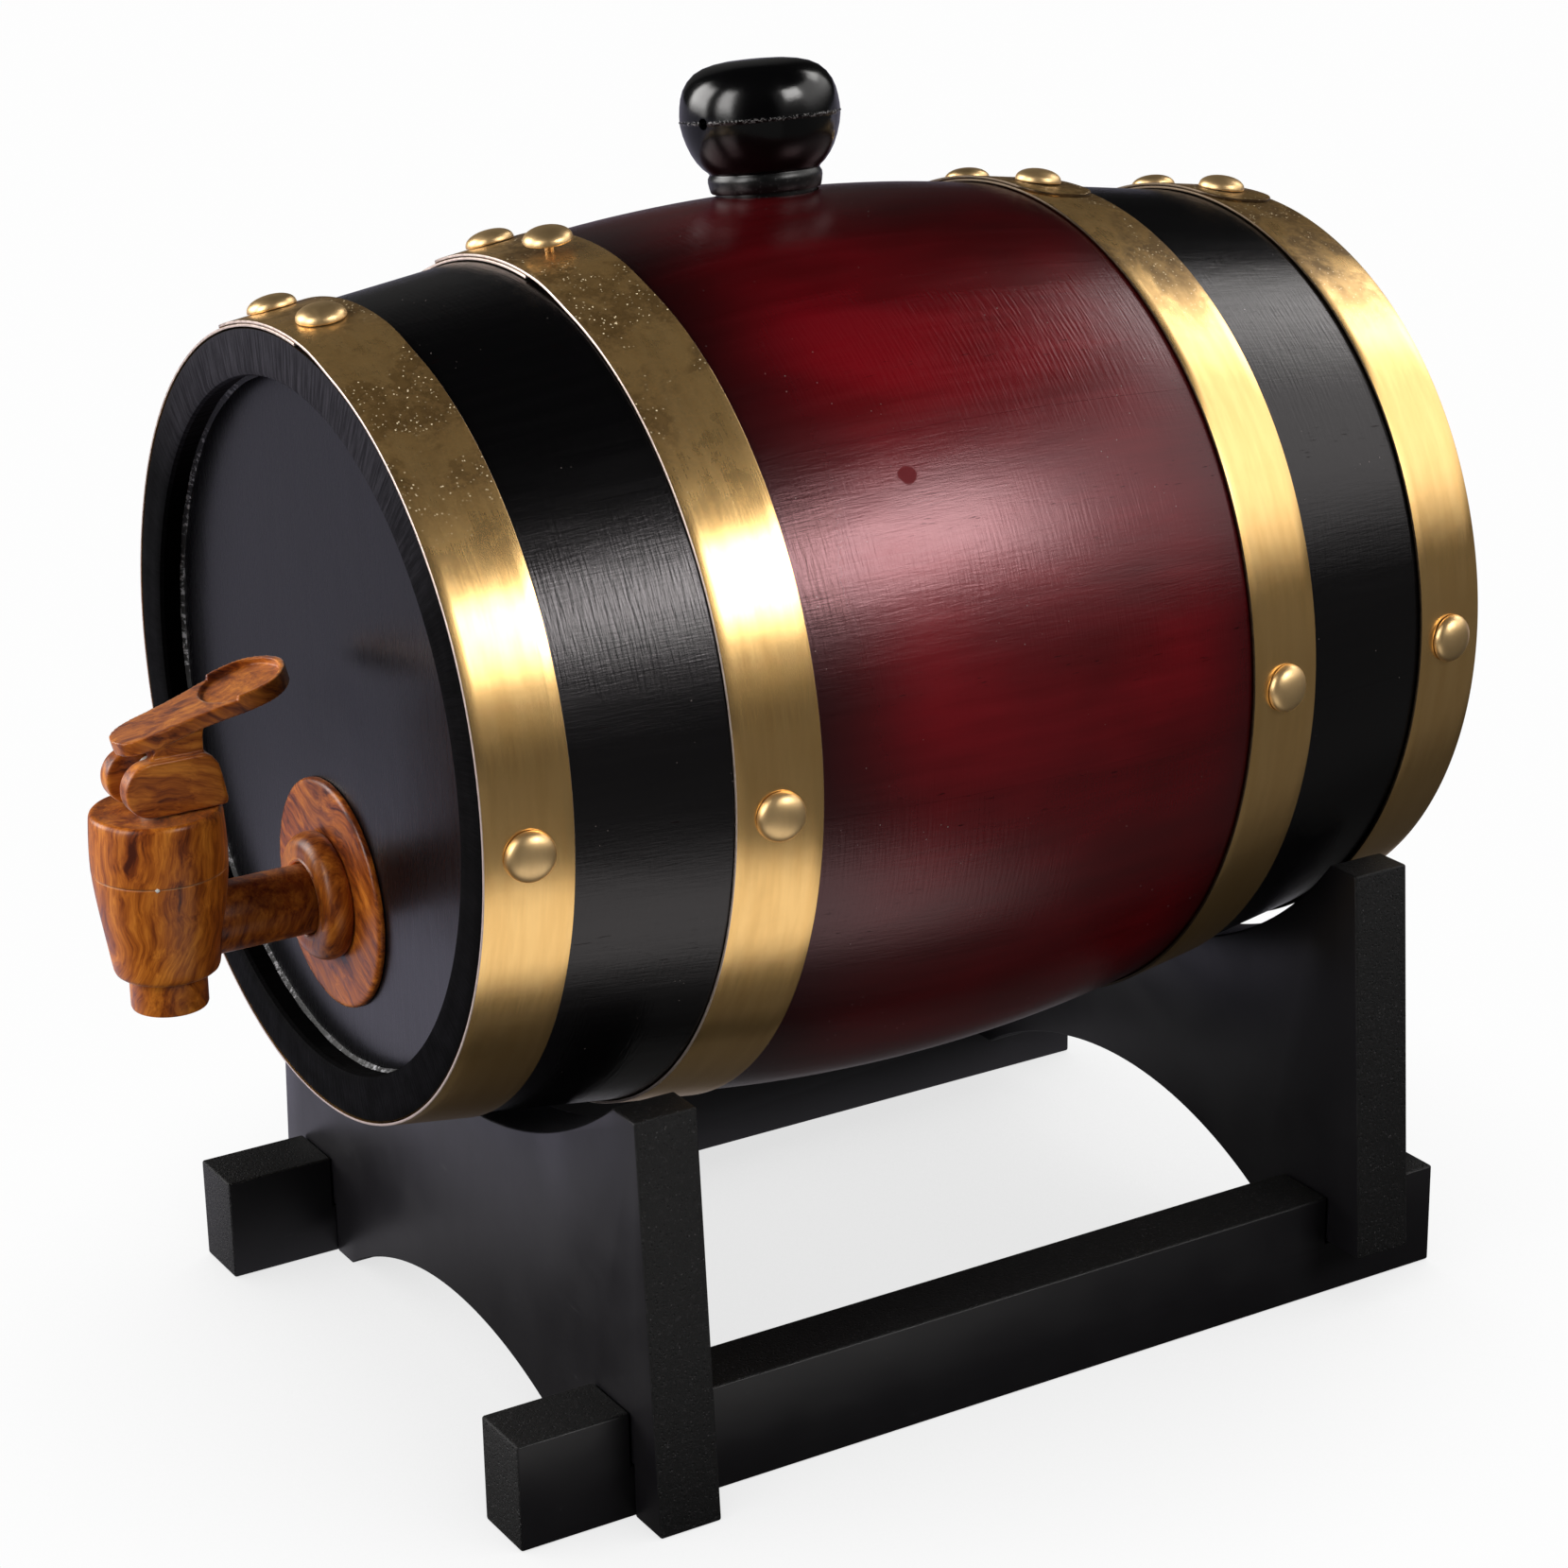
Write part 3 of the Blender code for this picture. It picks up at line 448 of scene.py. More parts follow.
def bung_material():
    """Glossy black plastic with a rough moulding line and a scuffed foot."""
    s = Shader("black_bung")
    space = s.position()
    x, _, z = s.parts(space)
    lean = radians(BUNG_TURN)
    rise = x * sin(lean) + (z - AXIS_Z * MM) * cos(lean) - BELLY * MM
    fine = s.noise(space, 900, 3, 0.6)
    soft = s.noise(space, 120, 2, 0.5)
    ragged = s.noise(space, 1500, 3, 0.7)
    seam = s.spread(abs(rise - BUNG_SEAM * MM), 0.0006, 0.0001) * s.spread(ragged, 0.5, 0.62)
    foot = s.spread(rise, 0.0046, 0.0036) * s.spread(ragged, 0.56, 0.7)
    # Wear only here: the rough moulding seam and the scuffed foot.
    wear_and_painted_light = s.math("ADD", seam * 0.8, foot * 0.16, clamp=True)
    colour = s.mix(wear_and_painted_light, (0.0014, 0.0014, 0.0016), (0.2, 0.19, 0.19))
    normal = s.bump(soft, 0.0003, 0.3, s.bump(fine + wear_and_painted_light * 3, 0.00003, 0.5))
    rough = s.spread(soft, 0.3, 0.7, 0.13, 0.2) + wear_and_painted_light * 0.4 + s.spread(rise, 0.0048, 0.004, 0, 0.15)
    return s.finish(base_color=colour, roughness=rough, specular_ior_level=0.45, normal=normal)


def grain_material(name, turn, tone_shift=0, joint_at=None, haze=0.04):
    """Moulded plastic with flowing streaks of darker colour, like a turned hardwood.

    The streaks run along z after the given turn in degrees.  A pale line of
    crazed plastic marks the cup's joint, where one is given."""
    s = Shader(name)
    turn = [radians(value) for value in turn]
    space = s.value("ShaderNodeMapping", 0, {"Vector": s.position(), "Rotation": turn})
    drift = s.noise(space, 30, 1, output="Color")
    swirl = s.noise(space, 95, 2, output="Color")
    for bend, size in ((drift, 0.018), (swirl, 0.005)):
        space = s.vector_math("ADD", space, s.vector_math("MULTIPLY", bend, (size, size, size)))
    x, y, z = s.parts(space)
    bands = s.noise(s.vector(x, y, z * 0.16), 210, 3, 0.55)
    lines = s.noise(s.vector(x, y, z * 0.09), 620, 3, 0.6)
    fibres = s.noise(s.vector(x, y, z * 0.045), 2200, 2, 0.6)
    colour = s.ramp(bands * 0.42 + lines * 0.38 + fibres * 0.2 + tone_shift, [
        (0.36, (0.062, 0.009, 0.0018)),
        (0.43, (0.22, 0.044, 0.004)),
        (0.52, (0.45, 0.122, 0.01)),
        (0.62, (0.68, 0.235, 0.026)),
    ])
    if joint_at is not None:
        _, y, z = s.parts(s.position())
        off = abs(z - (AXIS_Z + joint_at) * MM)
        cup_back = [place((0, TAP_Y + reach, 0)).y for reach in (15, 14.4)]
        pale = s.spread(off, 0.00026, 0.0001) * s.spread(swirl, 0.35, 0.6) * s.spread(y, *cup_back)
        colour = s.mix(pale * 0.55, colour, (0.8, 0.5, 0.28))
    return s.finish(base_color=colour, roughness=s.spread(lines, 0.3, 0.7, 0.3, 0.4),
                    specular_ior_level=0.36, normal=s.bump(lines, 0.00005, 0.3),
                    sheen_weight=haze, sheen_roughness=0.4)


def stand_face_material():
    """Satin black paint, brushed along the board and lightly scuffed."""
    s = Shader("satin_black_board")
    space = s.position()
    x, y, z = s.parts(space)
    brushed = s.noise(s.vector(x * 0.08, y * 0.08, z), 700, 4, 0.6)
    soft = s.noise(space, 55, 3, 0.5)
    scuffs = s.spread(s.noise(s.vector(x * 0.3, y, z * 1.4), 130, 5, 0.75), 0.64, 0.74)
    colour = s.mix(scuffs, (0.0048, 0.0043, 0.0056), (0.014, 0.0135, 0.015))
    normal = s.bump(soft, 0.0007, 0.2, s.bump(brushed * 0.5 + scuffs * 0.2, 0.00004, 0.5))
    rough = s.spread(soft, 0.3, 0.7, 0.33, 0.42) + scuffs * 0.12
    return s.finish(base_color=colour, roughness=rough, specular_ior_level=0.5, normal=normal)


def stand_edge_material():
    """Sawn edge of fibreboard under thin paint, pitted and speckled."""
    s = Shader("speckled_sawn_edge")
    space = s.position()
    x, y, z = s.parts(space)
    fibres = s.noise(space, 1100, 5, 0.8)
    pits = s.spread(s.cells(space, 950), 0.05, 0.32)
    saw = s.noise(s.vector(x * 0.1, y * 0.1, z), 520, 3, 0.6)
    flecks = s.spread(s.cells(space, 760), 0.17, 0.08) * s.spread(saw, 0.48, 0.6)
    pale = s.math("ADD", s.spread(fibres, 0.55, 0.66) * 0.3, flecks, clamp=True)
    colour = s.mix(pale, (0.0014, 0.0013, 0.0016), (0.06, 0.057, 0.06))
    normal = s.bump(fibres + pits * 0.8 + saw * 0.35, 0.0003, 0.7)
    return s.finish(base_color=colour, roughness=0.62, specular_ior_level=0.3, normal=normal)


STAVES = stave_material()
RIM = rim_material()
INSIDE = inner_oak_material()
# Paint and shadow inside the hairline joints between staves.
JOINT = plain_material("painted_joint", 600, 3, 0.6, ((0.001, 0.0008, 0.0008), (0.004, 0.002, 0.002)),
                       0.9, specular_ior_level=0)
HEAD = head_material()
SEAM = seam_material()
HOOP = brass_material("brushed_brass_hoop", True)
NAIL = brass_material("brass_nail", False)
# Strip edges: bare cut brass on the front hoops; on the rear hoops a dark edge that is painted shade in the
# gap along their sides.
CUT_EDGE, DARK_EDGE = (
    plain_material(name, 700, 3, 0.6, colours, (0.28, 0.42), (0.00004, 0.4), metallic=0.75)
    for name, colours in (("bare_strip_edge", ((0.56, 0.44, 0.37), (0.84, 0.7, 0.63))),
                          ("painted_shade_strip_edge", ((0.03, 0.02, 0.012), (0.12, 0.08, 0.045)))))
BUNG = bung_material()
GRAIN = grain_material("flowing_tap_plastic", (8, -14, 0), joint_at=CUP_JOINT)
GRAIN_PLATE = grain_material("flowing_plate_plastic", (0, 62, 0), -0.045)
GRAIN_LEVER = grain_material("flowing_lever_plastic", (-76, 6, 0), -0.005, haze=0.3)
STEM = plain_material("white_stem_plastic", 400, 2, 0.5, ((0.7, 0.69, 0.64), (0.8, 0.79, 0.74)),
                      0.42, (0.00004, 0.4))
RUBBER = plain_material("black_rubber", 900, 3, 0.6, ((0.012, 0.012, 0.012),) * 2, (0.6, 0.75),
                        (0.00006, 0.5))
STEEL = plain_material("drawn_steel", 1200, 3, 0.6, ((0.55, 0.55, 0.56),) * 2, (0.2, 0.35),
                       (0.00003, 0.4), metallic=1)
BOARD_FACE = stand_face_material()
BOARD_EDGE = stand_edge_material()


# ---- Mesh helpers
NO_RADIUS = 1e-6
SAME_POINT = 1e-7
LATHE_AXES = {
    "x": ((0, 1, 0), (0, 0, 1), (1, 0, 0)),
    "y": ((0, 0, 1), (1, 0, 0), (0, 1, 0)),
    "z": ((1, 0, 0), (0, 1, 0), (0, 0, 1)),
}


def soften(made, angle):
    """Shade smooth, with sharp edges above an angle in degrees where one is given."""
    made.data.shade_smooth()
    if angle is not None:
        made.data.set_sharp_from_angle(angle=radians(angle))


def make(name, points, faces, materials, face_slots=None, smooth=35):
    """A mesh object from millimetre points, shaded smooth below an angle."""
    mesh = bpy.data.meshes.new(name)
    mesh.from_pydata([place(point) for point in points], [], faces)
    work = bmesh.new()
    work.from_mesh(mesh)
    if face_slots is not None:
        for face, slot in zip(work.faces, face_slots):
            face.material_index = slot
    bmesh.ops.remove_doubles(work, verts=work.verts, dist=SAME_POINT)
    bmesh.ops.recalc_face_normals(work, faces=work.faces)
    work.to_mesh(mesh)
    work.free()
    for item in materials:
        mesh.materials.append(item)
    made = bpy.data.objects.new(name, mesh)
    bpy.context.scene.collection.objects.link(made)
    soften(made, smooth)
    return made


def applied(made, angle=35):
    """Bake the modifiers on a piece into its mesh."""
    bpy.context.view_layer.update()
    shaped = made.evaluated_get(bpy.context.evaluated_depsgraph_get())
    mesh = bpy.data.meshes.new_from_object(shaped)
    made.modifiers.clear()
    made.data = mesh
    mesh.name = made.name
    soften(made, angle)
    return made


def combine(target, tool, operation, angle=35):
    step = target.modifiers.new("step", "BOOLEAN")
    step.operation = operation
    step.solver = "EXACT"
    step.object = tool
    applied(target, angle)
    bpy.data.objects.remove(tool, do_unlink=True)


def bevel(made, width, segments=3, angle=40):
    step = made.modifiers.new("rounded", "BEVEL")
    step.width = width * MM
    step.segments = segments
    step.limit_method = "ANGLE"
    step.angle_limit = radians(angle)
    step.use_clamp_overlap = True
    applied(made, 50)


def skin(name, rings, materials, slots=None, smooth=35, capped=False, closed=False, count=0):
    """A surface through rings of points.

    A ring of a single point stands for a whole ring of that count.  The surface is
    closed with flat ends if capped, and joined end to end if closed."""
    points = []
    rows = []
    for ring in rings:
        start = len(points)
        points += ring
        rows.append([start] * count if len(ring) == 1 else list(range(start, len(points))))
    if closed:
        rows.append(rows[0])
    faces = []
    for low, high in zip(rows, rows[1:]):
        for i in range(len(low)):
            after = (i + 1) % len(low)
            corners = list(dict.fromkeys([low[i], low[after], high[after], high[i]]))
            if len(corners) > 2:
                faces.append(corners)
    if capped:
        faces += [rows[0][::-1], rows[-1]]
    return make(name, points, faces, materials, slots, smooth)


def lathe(name, profile, centre, direction, materials, steps=96, closed=False, slots=None, smooth=35):
    """Turn (radius, height) pairs about an axis through centre.

    The direction is x, y or z, or three vectors of which the last is the axis."""
    first, second, along = LATHE_AXES.get(direction, direction)
    rings = []
    for radius, height in profile:
        ring = []
        for step in range(1 if radius < NO_RADIUS else steps):
            turn = 2 * pi * step / steps
            ring.append(tuple(
                centre[i] + radius * (cos(turn) * first[i] + sin(turn) * second[i])
                + height * along[i]
                for i in range(3)
            ))
        rings.append(ring)
    numbers = [slot for slot in slots for _ in range(steps)] if slots else None
    return skin(name, rings, materials, numbers, smooth, closed=closed, count=steps)


def prism(name, outline, axis, low, high, materials):
    """A flat outline drawn out along an axis."""
    points = []
    for value in (low, high):
        for first, second in outline:
            corner = {"x": (value, first, second), "y": (first, value, second), "z": (first, second, value)}
            points.append(corner[axis])
    count = len(outline)
    faces = [list(range(count)), list(range(2 * count - 1, count - 1, -1))]
    for i in range(count):
        after = (i + 1) % count
        faces.append([i, after, count + after, count + i])
    return make(name, points, faces, materials)


def rod(radius, low, high):
    """Profile of a plain round bar."""
    return [(0, low), (radius, low), (radius, high), (0, high)]


def drill(target, material, radius, span, centre, direction, steps, angle=35):
    cutter = lathe("drill", rod(radius, *span), centre, direction, [material], steps)
    combine(target, cutter, "DIFFERENCE", angle)


def rounded(profile, radius, steps=4):
    """Round the corners of a closed flat outline."""
    count = len(profile)
    found = []
    for i, corner in enumerate(profile):
        here = Vector(corner)
        to_before = Vector(profile[i - 1]) - here
        to_after = Vector(profile[(i + 1) % count]) - here
        size = min(radius, to_before.length * 0.45, to_after.length * 0.45)
        start = here + to_before.normalized() * size
        end = here + to_after.normalized() * size
        for step in range(steps + 1):
            share = step / steps
            point = start.lerp(here, share).lerp(here.lerp(end, share), share)
            found.append((point.x, point.y))
    return found


def turned(made, degrees, axis, pivot):
    """Turn a piece about a line along an axis through a point."""
    pivot = Matrix.Translation(place(pivot))
    made.data.transform(pivot @ Matrix.Rotation(radians(degrees), 4, axis) @ pivot.inverted())
    return made


def rolled(made, degrees):
    """Turn a piece about the barrel axis, clockwise seen from the tap end."""
    return turned(made, degrees, "Y", (0, 0, AXIS_Z))


def done(made, body, slot, *nodes):
    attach(made, body)
    if nodes:
        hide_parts(*nodes)


# ---- Barrel
def stave_section():
    """Closed (y, radius) outline of a stave and a material number for each stretch."""
    end = HALF_LENGTH
    rim_out = outer_radius(end)
    rim_in = rim_out - STAVE_THICKNESS
    face = end - HEAD_RECESS
    groove_front = face - GROOVE_INSET
    groove_back = face - HEAD_THICKNESS + GROOVE_INSET
    groove_floor = inner_radius(groove_front) + GROOVE_DEPTH
    outside = []
    outer_steps = 56
    for step in range(outer_steps + 1):
        share = -1 + 2 * step / outer_steps
        y = share * (end - 0.5)
        outside.append((y, outer_radius(y)))
    rim = [
        (end - 0.15, rim_out - 0.12), (end, rim_out - 0.45), (end, rim_out - 3.4), (end, rim_out - 6.6),
        (end, rim_in + 1.3), (end - 0.35, rim_in + 0.45), (end - 1.2, rim_in + 0.1),
        (end - 3.4, inner_radius(end - 3.4)), (groove_front, inner_radius(groove_front)),
        (groove_front, groove_floor), (groove_back, groove_floor), (groove_back, inner_radius(groove_back)),
    ]
    inside = []
    inner_steps = 16
    for step in range(inner_steps + 1):
        y = 88 * (1 - 2 * step / inner_steps)
        inside.append((y, inner_radius(y)))
    section = outside + rim + inside + [(-y, radius) for y, radius in reversed(rim)]
    numbers = []
    for index, point in enumerate(section):
        pair = (point, section[(index + 1) % len(section)])
        if all(radius > outer_radius(y) - 0.3 for y, radius in pair):
            numbers.append(OUTER_FACE)
        elif min(abs(y) for y, _ in pair) > face - 2:
            numbers.append(END_FACE)
        else:
            numbers.append(INNER_FACE)
    return section, numbers


def true_normals(made):
    """Give the outer faces the exact normals of the barrel, so the joints do not catch the light."""
    mesh = made.data
    found = [(0, 0, 0)] * len(mesh.loops)
    for polygon in mesh.polygons:
        if polygon.material_index != OUTER_FACE:
            continue
        for loop in polygon.loop_indices:
            point = mesh.vertices[mesh.loops[loop].vertex_index].co
            y = (point.y - MIDDLE_Y) / MM
            if abs(y) > HALF_LENGTH - 0.6:
                continue
            slope = 2 * BELLY_CURVE * max(-CURVED_HALF, min(CURVED_HALF, y))
            out = Vector((point.x, 0, point.z - AXIS_Z * MM)).normalized()
            found[loop] = tuple((out + Vector((0, slope, 0))).normalized())
    mesh.normals_split_custom_set(found)


def build_staves():
    section, slots = stave_section()
    steps = 14
    half = 180 / STAVE_COUNT
    for index in range(STAVE_COUNT):
        middle = BUNG_TURN + index * 360 / STAVE_COUNT
        rings = []
        for step in range(steps + 1):
            share = -1 + 2 * step / steps
            rings.append([around(radius, middle + share * (half - math.degrees(STAVE_GAP / radius)), y)
                          for y, radius in section])
        numbers = slots * steps + [SIDE_FACE, SIDE_FACE]
        name = f"stave_{index + 1:02d}"
        stave = skin(name + "_shaped", rings, [STAVES, RIM, INSIDE, JOINT], numbers, 30, True)
        if index == 0:
            low, high = BELLY_TOP - 16, BELLY_TOP + 4
            hole = [(0, low), (11.1, low), (11.7, high), (0, high)]
            cutter = lathe("bung_hole", hole, (0, 0, 0), "z", [INSIDE], 64)
            combine(stave, rolled(cutter, BUNG_TURN), "DIFFERENCE", 30)
        true_normals(stave)
        done(stave, "barrel", "stave_lacquer", name)


def build_heads():
    face = HALF_LENGTH - HEAD_RECESS
    body = inner_radius(face) - HEAD_FIT
    tongue = inner_radius(face - GROOVE_INSET) + TONGUE_DEPTH
    profile = [(body * step / 20, 0) for step in range(20)]
    profile += [(body - 1.2, 0), (body - 0.35, 0.1), (body, 0.5), (body, 2), (tongue, 2)]
    profile += [(tongue, 6), (body, 6), (body, HEAD_THICKNESS), (0, HEAD_THICKNESS)]
    slots = [0] * (len(profile) - 6) + [1] * 5
    for name, side in (("front_head", -1), ("rear_head", 1)):
        placed = [(radius, -side * depth + side * face) for radius, depth in profile]
        head = lathe(name + "_shaped", placed, (0, 0, AXIS_Z), "y", [HEAD, INSIDE], 160, slots=slots)
        if name == "front_head":
            drill(head, INSIDE, SHANK_HOLE, (-130, -100), SHANK_LINE, "y", 48)
        done(head, "barrel", "head_black", name)
        rings = []
        bead_steps = 220
        for step in range(bead_steps):
            turn = 360 * step / bead_steps
            spin = radians(turn)
            wobble = noise.noise(Vector((cos(spin) * 9, sin(spin) * 9, side)))
            size = 0.75 + 0.35 * wobble
            bead = ((body + 0.25, -0.1), (body + 0.12, size), (body - size * 0.35, size * 0.5),
                    (body - size * 1.1, -0.1))
            rings.append([around(radius, turn, side * (face + depth)) for radius, depth in bead])
        done(skin(name + "_paint_bead", rings, [SEAM], None, 60, closed=True), "barrel", "head_black")


# ---- Hoops and nails
def strip_lift(degrees):
    """How far the strip is lifted by the end that lies under it."""
    if degrees >= LAP_HOLD:
        return LAP_LIFT
    if degrees <= LAP_DROP:
        return 0
    share = (degrees - LAP_DROP) / (LAP_HOLD - LAP_DROP)
    return LAP_LIFT * share * share * (3 - 2 * share)


def build_hoop(name, low, high):
    middle = (low + high) / 2
    per_degree = radians(1) * outer_radius(middle)
    last = INNER_END - 360
    angles = [LAP_END - share * HOOP_CORNER / per_degree
              for share in (0.004, 0.02, 0.05, 0.1, 0.18, 0.28, 0.4, 0.55, 0.75, 1)]
    step = angles[-1] - 0.9
    while step > last + 0.4:
        angles.append(step)
        step -= 1
    angles.append(last)
    rings = []
    for degrees in angles:
        along = (LAP_END - degrees) * per_degree
        half = (high - low) / 2
        if along < HOOP_CORNER:
            half = half - HOOP_CORNER + sqrt(HOOP_CORNER ** 2 - (HOOP_CORNER - along) ** 2)
        sway = 0.1 * noise.noise(Vector((degrees * 0.05, middle, 0)))
        lift = strip_lift(degrees) + HOOP_FIT
        turn = LAP_MIRROR - degrees if middle < 0 else degrees
        ring = []
        for share, rise in STRIP_SHAPE:
            y = middle + share * half + (sway if abs(share) > 0.9 else sway * abs(share))
            y = max(-HALF_LENGTH - 0.05, min(HALF_LENGTH + 0.05, y))
            ring.append(around(outer_radius(y) + lift + rise * HOOP_THICKNESS, turn, y))
        rings.append(ring)
    numbers = [1 if index in STRIP_SIDES else 0 for index in range(len(STRIP_SHAPE))]
    numbers = numbers * (len(rings) - 1) + [1, 1]
    # The rear hoops take the dark edge, which is painted shade.
    side = CUT_EDGE if middle < 0 else DARK_EDGE
    hoop = skin(name + "_shaped", rings, [HOOP, side], numbers, 55, True)
    done(hoop, "barrel", "hoop_brass", name)


def build_nail(node, degrees, y, proud, lean_by, size):
    """A domed nail with a rolled rim, on its own short shank."""
    lift = HOOP_FIT + HOOP_THICKNESS
    if INNER_END <= degrees <= LAP_END - 1:
        lift += LAP_LIFT
    radius = NAIL_RADIUS * size
    profile = [(0, -6.5 - proud), (0.95, -5.6 - proud), (1, 0.25), (radius * 0.72, 0.42)]
    profile += [(radius * 0.93, 0.12), (radius * 0.985, 0.08), (radius, 0.3), (radius * 0.992, 0.52)]
    for turn in range(8, 90, 7):
        flat = cos(radians(turn)) ** 0.92
        profile.append((radius * 0.985 * flat, 0.5 + NAIL_RISE * size * sin(radians(turn))))
    profile.append((0, 0.5 + NAIL_RISE * size))
    turn = radians(degrees)
    normal = Vector((sin(turn), copysign(END_SLOPE, y), cos(turn))).normalized()
    side = Vector((cos(turn), 0, -sin(turn)))
    normal = (normal + side * lean_by).normalized()
    side = (side - normal * side.dot(normal)).normalized()
    cross = normal.cross(side)
    centre = around(outer_radius(y) + lift + proud, degrees, y)
    frame_of_nail = (tuple(side), tuple(cross), tuple(normal))
    nail = lathe(node + "_shaped", profile, centre, frame_of_nail, [NAIL], 40, smooth=60)
    done(nail, "barrel", "nail_brass", node)


def build_hoops_and_nails():
    for hoop_index, (hoop_name, (low, high)) in enumerate(HOOP_EDGES.items()):
        build_hoop(hoop_name, low, high)
        middle = (low + high) / 2
        angles = FRONT_NAIL_ANGLES if middle < 0 else REAR_NAIL_ANGLES
        for letter_index, (letter, degrees) in enumerate(angles.items()):
            node = hoop_name.replace("hoop", "nail") + "_" + letter
            shift = noise.noise(Vector((hoop_index * 3.1, letter_index * 2.7, 0.4)))
            proud = 2.3 if node == PROUD_NAIL else 0.05
            build_nail(node, degrees, middle, proud, 0.05 * shift, 1 + 0.04 * shift)


# ---- Bung
def build_bung():
    profile = [
        (0, -11), (9.9, -11), (10.5, -10.4), (11.1, 0.3), (11.8, 0.3), (12.1, 0.6), (12.35, 1.6),
        (12.55, 2.8), (12.5, 3.6), (12.2, 4.1), (12.05, 4.45), (12.35, 4.9), (13.4, 5.8), (14.6, 7.3),
        (15.6, 9), (16.5, 11.2), (17.15, 13.4), (17.5, 15.4), (17.53, 15.9), (17.7, 16.08),
        (17.72, 16.24), (17.53, 16.42), (17.5, 17.6), (17.3, 19.4), (16.95, 21.2), (16.3, 23),
        (15.2, 24.7), (13.6, 26.2), (11.6, 27.2), (9.2, 27.85), (6.4, 28.25), (3.2, 28.42), (0, 28.45),
    ]
    bung = lathe("bung_shaped", profile, (0, 0, BELLY_TOP), "z", [BUNG], 128, smooth=40)
    vent = lathe("vent", rod(1.25, 10, 26), (0, 0, 0), "y", [BUNG], 24)
    spin = Matrix.Rotation(pi + radians(15), 4, "Z")
    shift = Matrix.Translation(place((0, 0, BELLY_TOP + 16.1)))
    vent.data.transform(shift @ spin @ Matrix.Translation((0, -MIDDLE_Y, 0)))
    combine(bung, vent, "DIFFERENCE", 40)
    rolled(bung, BUNG_TURN)
    done(bung, "bung", "bung_black", "bung")


# ---- Tap
def level(height):
    """A height above or below the barrel axis."""
    return AXIS_Z + height


def build_tap_body():
    profile = [
        (0, -54.1), (7.5, -54.1), (7.92, -53.95), (8.1, -53.5), (8.12, -47), (8.3, -46.5), (9.6, -46.4),
        (10.2, -46.2), (10.75, -45.75), (11.05, -45), (11.3, -43.6), (11.75, -40.7), (12.35, -36.8),
        (13, -32.6), (13.55, -28.6), (13.9, -25.4), (14.00, -24), (14.02, -23.72), (13.95, -23.58),
        (13.6, -23.54), (12, -23.54), (12, -15.4), (0, -15.4),
    ]
    body = lathe("tap_body_shaped", profile, TAP_CENTRE, "z", [GRAIN], 96, smooth=40)
    shank = [(0, TAP_Y + 4), (SHANK_RADIUS, TAP_Y + 4), (SHANK_RADIUS, -100.3), (6.8, -99.5), (0, -99.5)]
    combine(body, lathe("shank", shank, SHANK_LINE, "y", [GRAIN], 72), "UNION")
    drill(body, GRAIN, 8.5, (-42.3, -10), TAP_CENTRE, "z", 48)
    outlet = [(0, -66), (6.6, -66), (6.6, -53.9), (6.2, -53.3), (6.2, -45.2), (4.8, -44.5)]
    outlet += [(4.8, -36.6), (0, -36.6)]
    combine(body, lathe("outlet", outlet, TAP_CENTRE, "z", [GRAIN], 64), "DIFFERENCE")
    drill(body, GRAIN, 4.6, (TAP_Y + 2, -90), SHANK_LINE, "y", 40)
    done(body, "barrel", "tap_grain", "tap_body")


def build_tap_collars():
    plate = [
        (SHANK_HOLE, -117.75), (SHANK_HOLE, -119), (8.2, -119.2), (16, -119.25), (23.6, -119.2),
        (24.4, -119.05), (24.85, -118.7), (25, -118.2), (25, -117.75),
    ]
    disc = lathe("tap_escutcheon_shaped", plate, SHANK_LINE, "y", [GRAIN_PLATE], 128, True, smooth=50)
    done(disc, "barrel", "tap_grain", "tap_escutcheon")
    ring = [
        (SHANK_HOLE, -119.4), (SHANK_HOLE, -124.5), (8.05, -124.85), (8.5, -125), (8.8, -124.75),
        (9.3, -124.7), (10.2, -124.85), (11.2, -124.8), (12.2, -124.45), (13, -123.8), (13.6, -122.9),
        (13.9, -121.8), (13.95, -120.8), (13.7, -119.8), (13.4, -119.4),
    ]
    collar = lathe("tap_collar_shaped", ring, SHANK_LINE, "y", [GRAIN], 112, True, smooth=50)
    done(collar, "barrel", "tap_grain", "tap_collar")
    ring = rounded([(SHANK_HOLE, -109.3), (SHANK_HOLE, -107.5), (12.8, -107.5), (12.8, -109.3)], 0.4)
    washer = lathe("tap_washer_shaped", ring, SHANK_LINE, "y", [RUBBER], 64, True)
    done(washer, "barrel", "tap_rubber", "tap_washer")
    hexagon = arc((0, SHANK_LINE[2]), 13.4, 0, 300, 5)
    nut = prism("tap_nut_shaped", hexagon, "y", -107.2, -101.6, [GRAIN])
    drill(nut, GRAIN, SHANK_HOLE, (-112, -98), SHANK_LINE, "y", 48)
    bevel(nut, 0.5, 2)
    done(nut, "barrel", "tap_grain", "tap_nut")


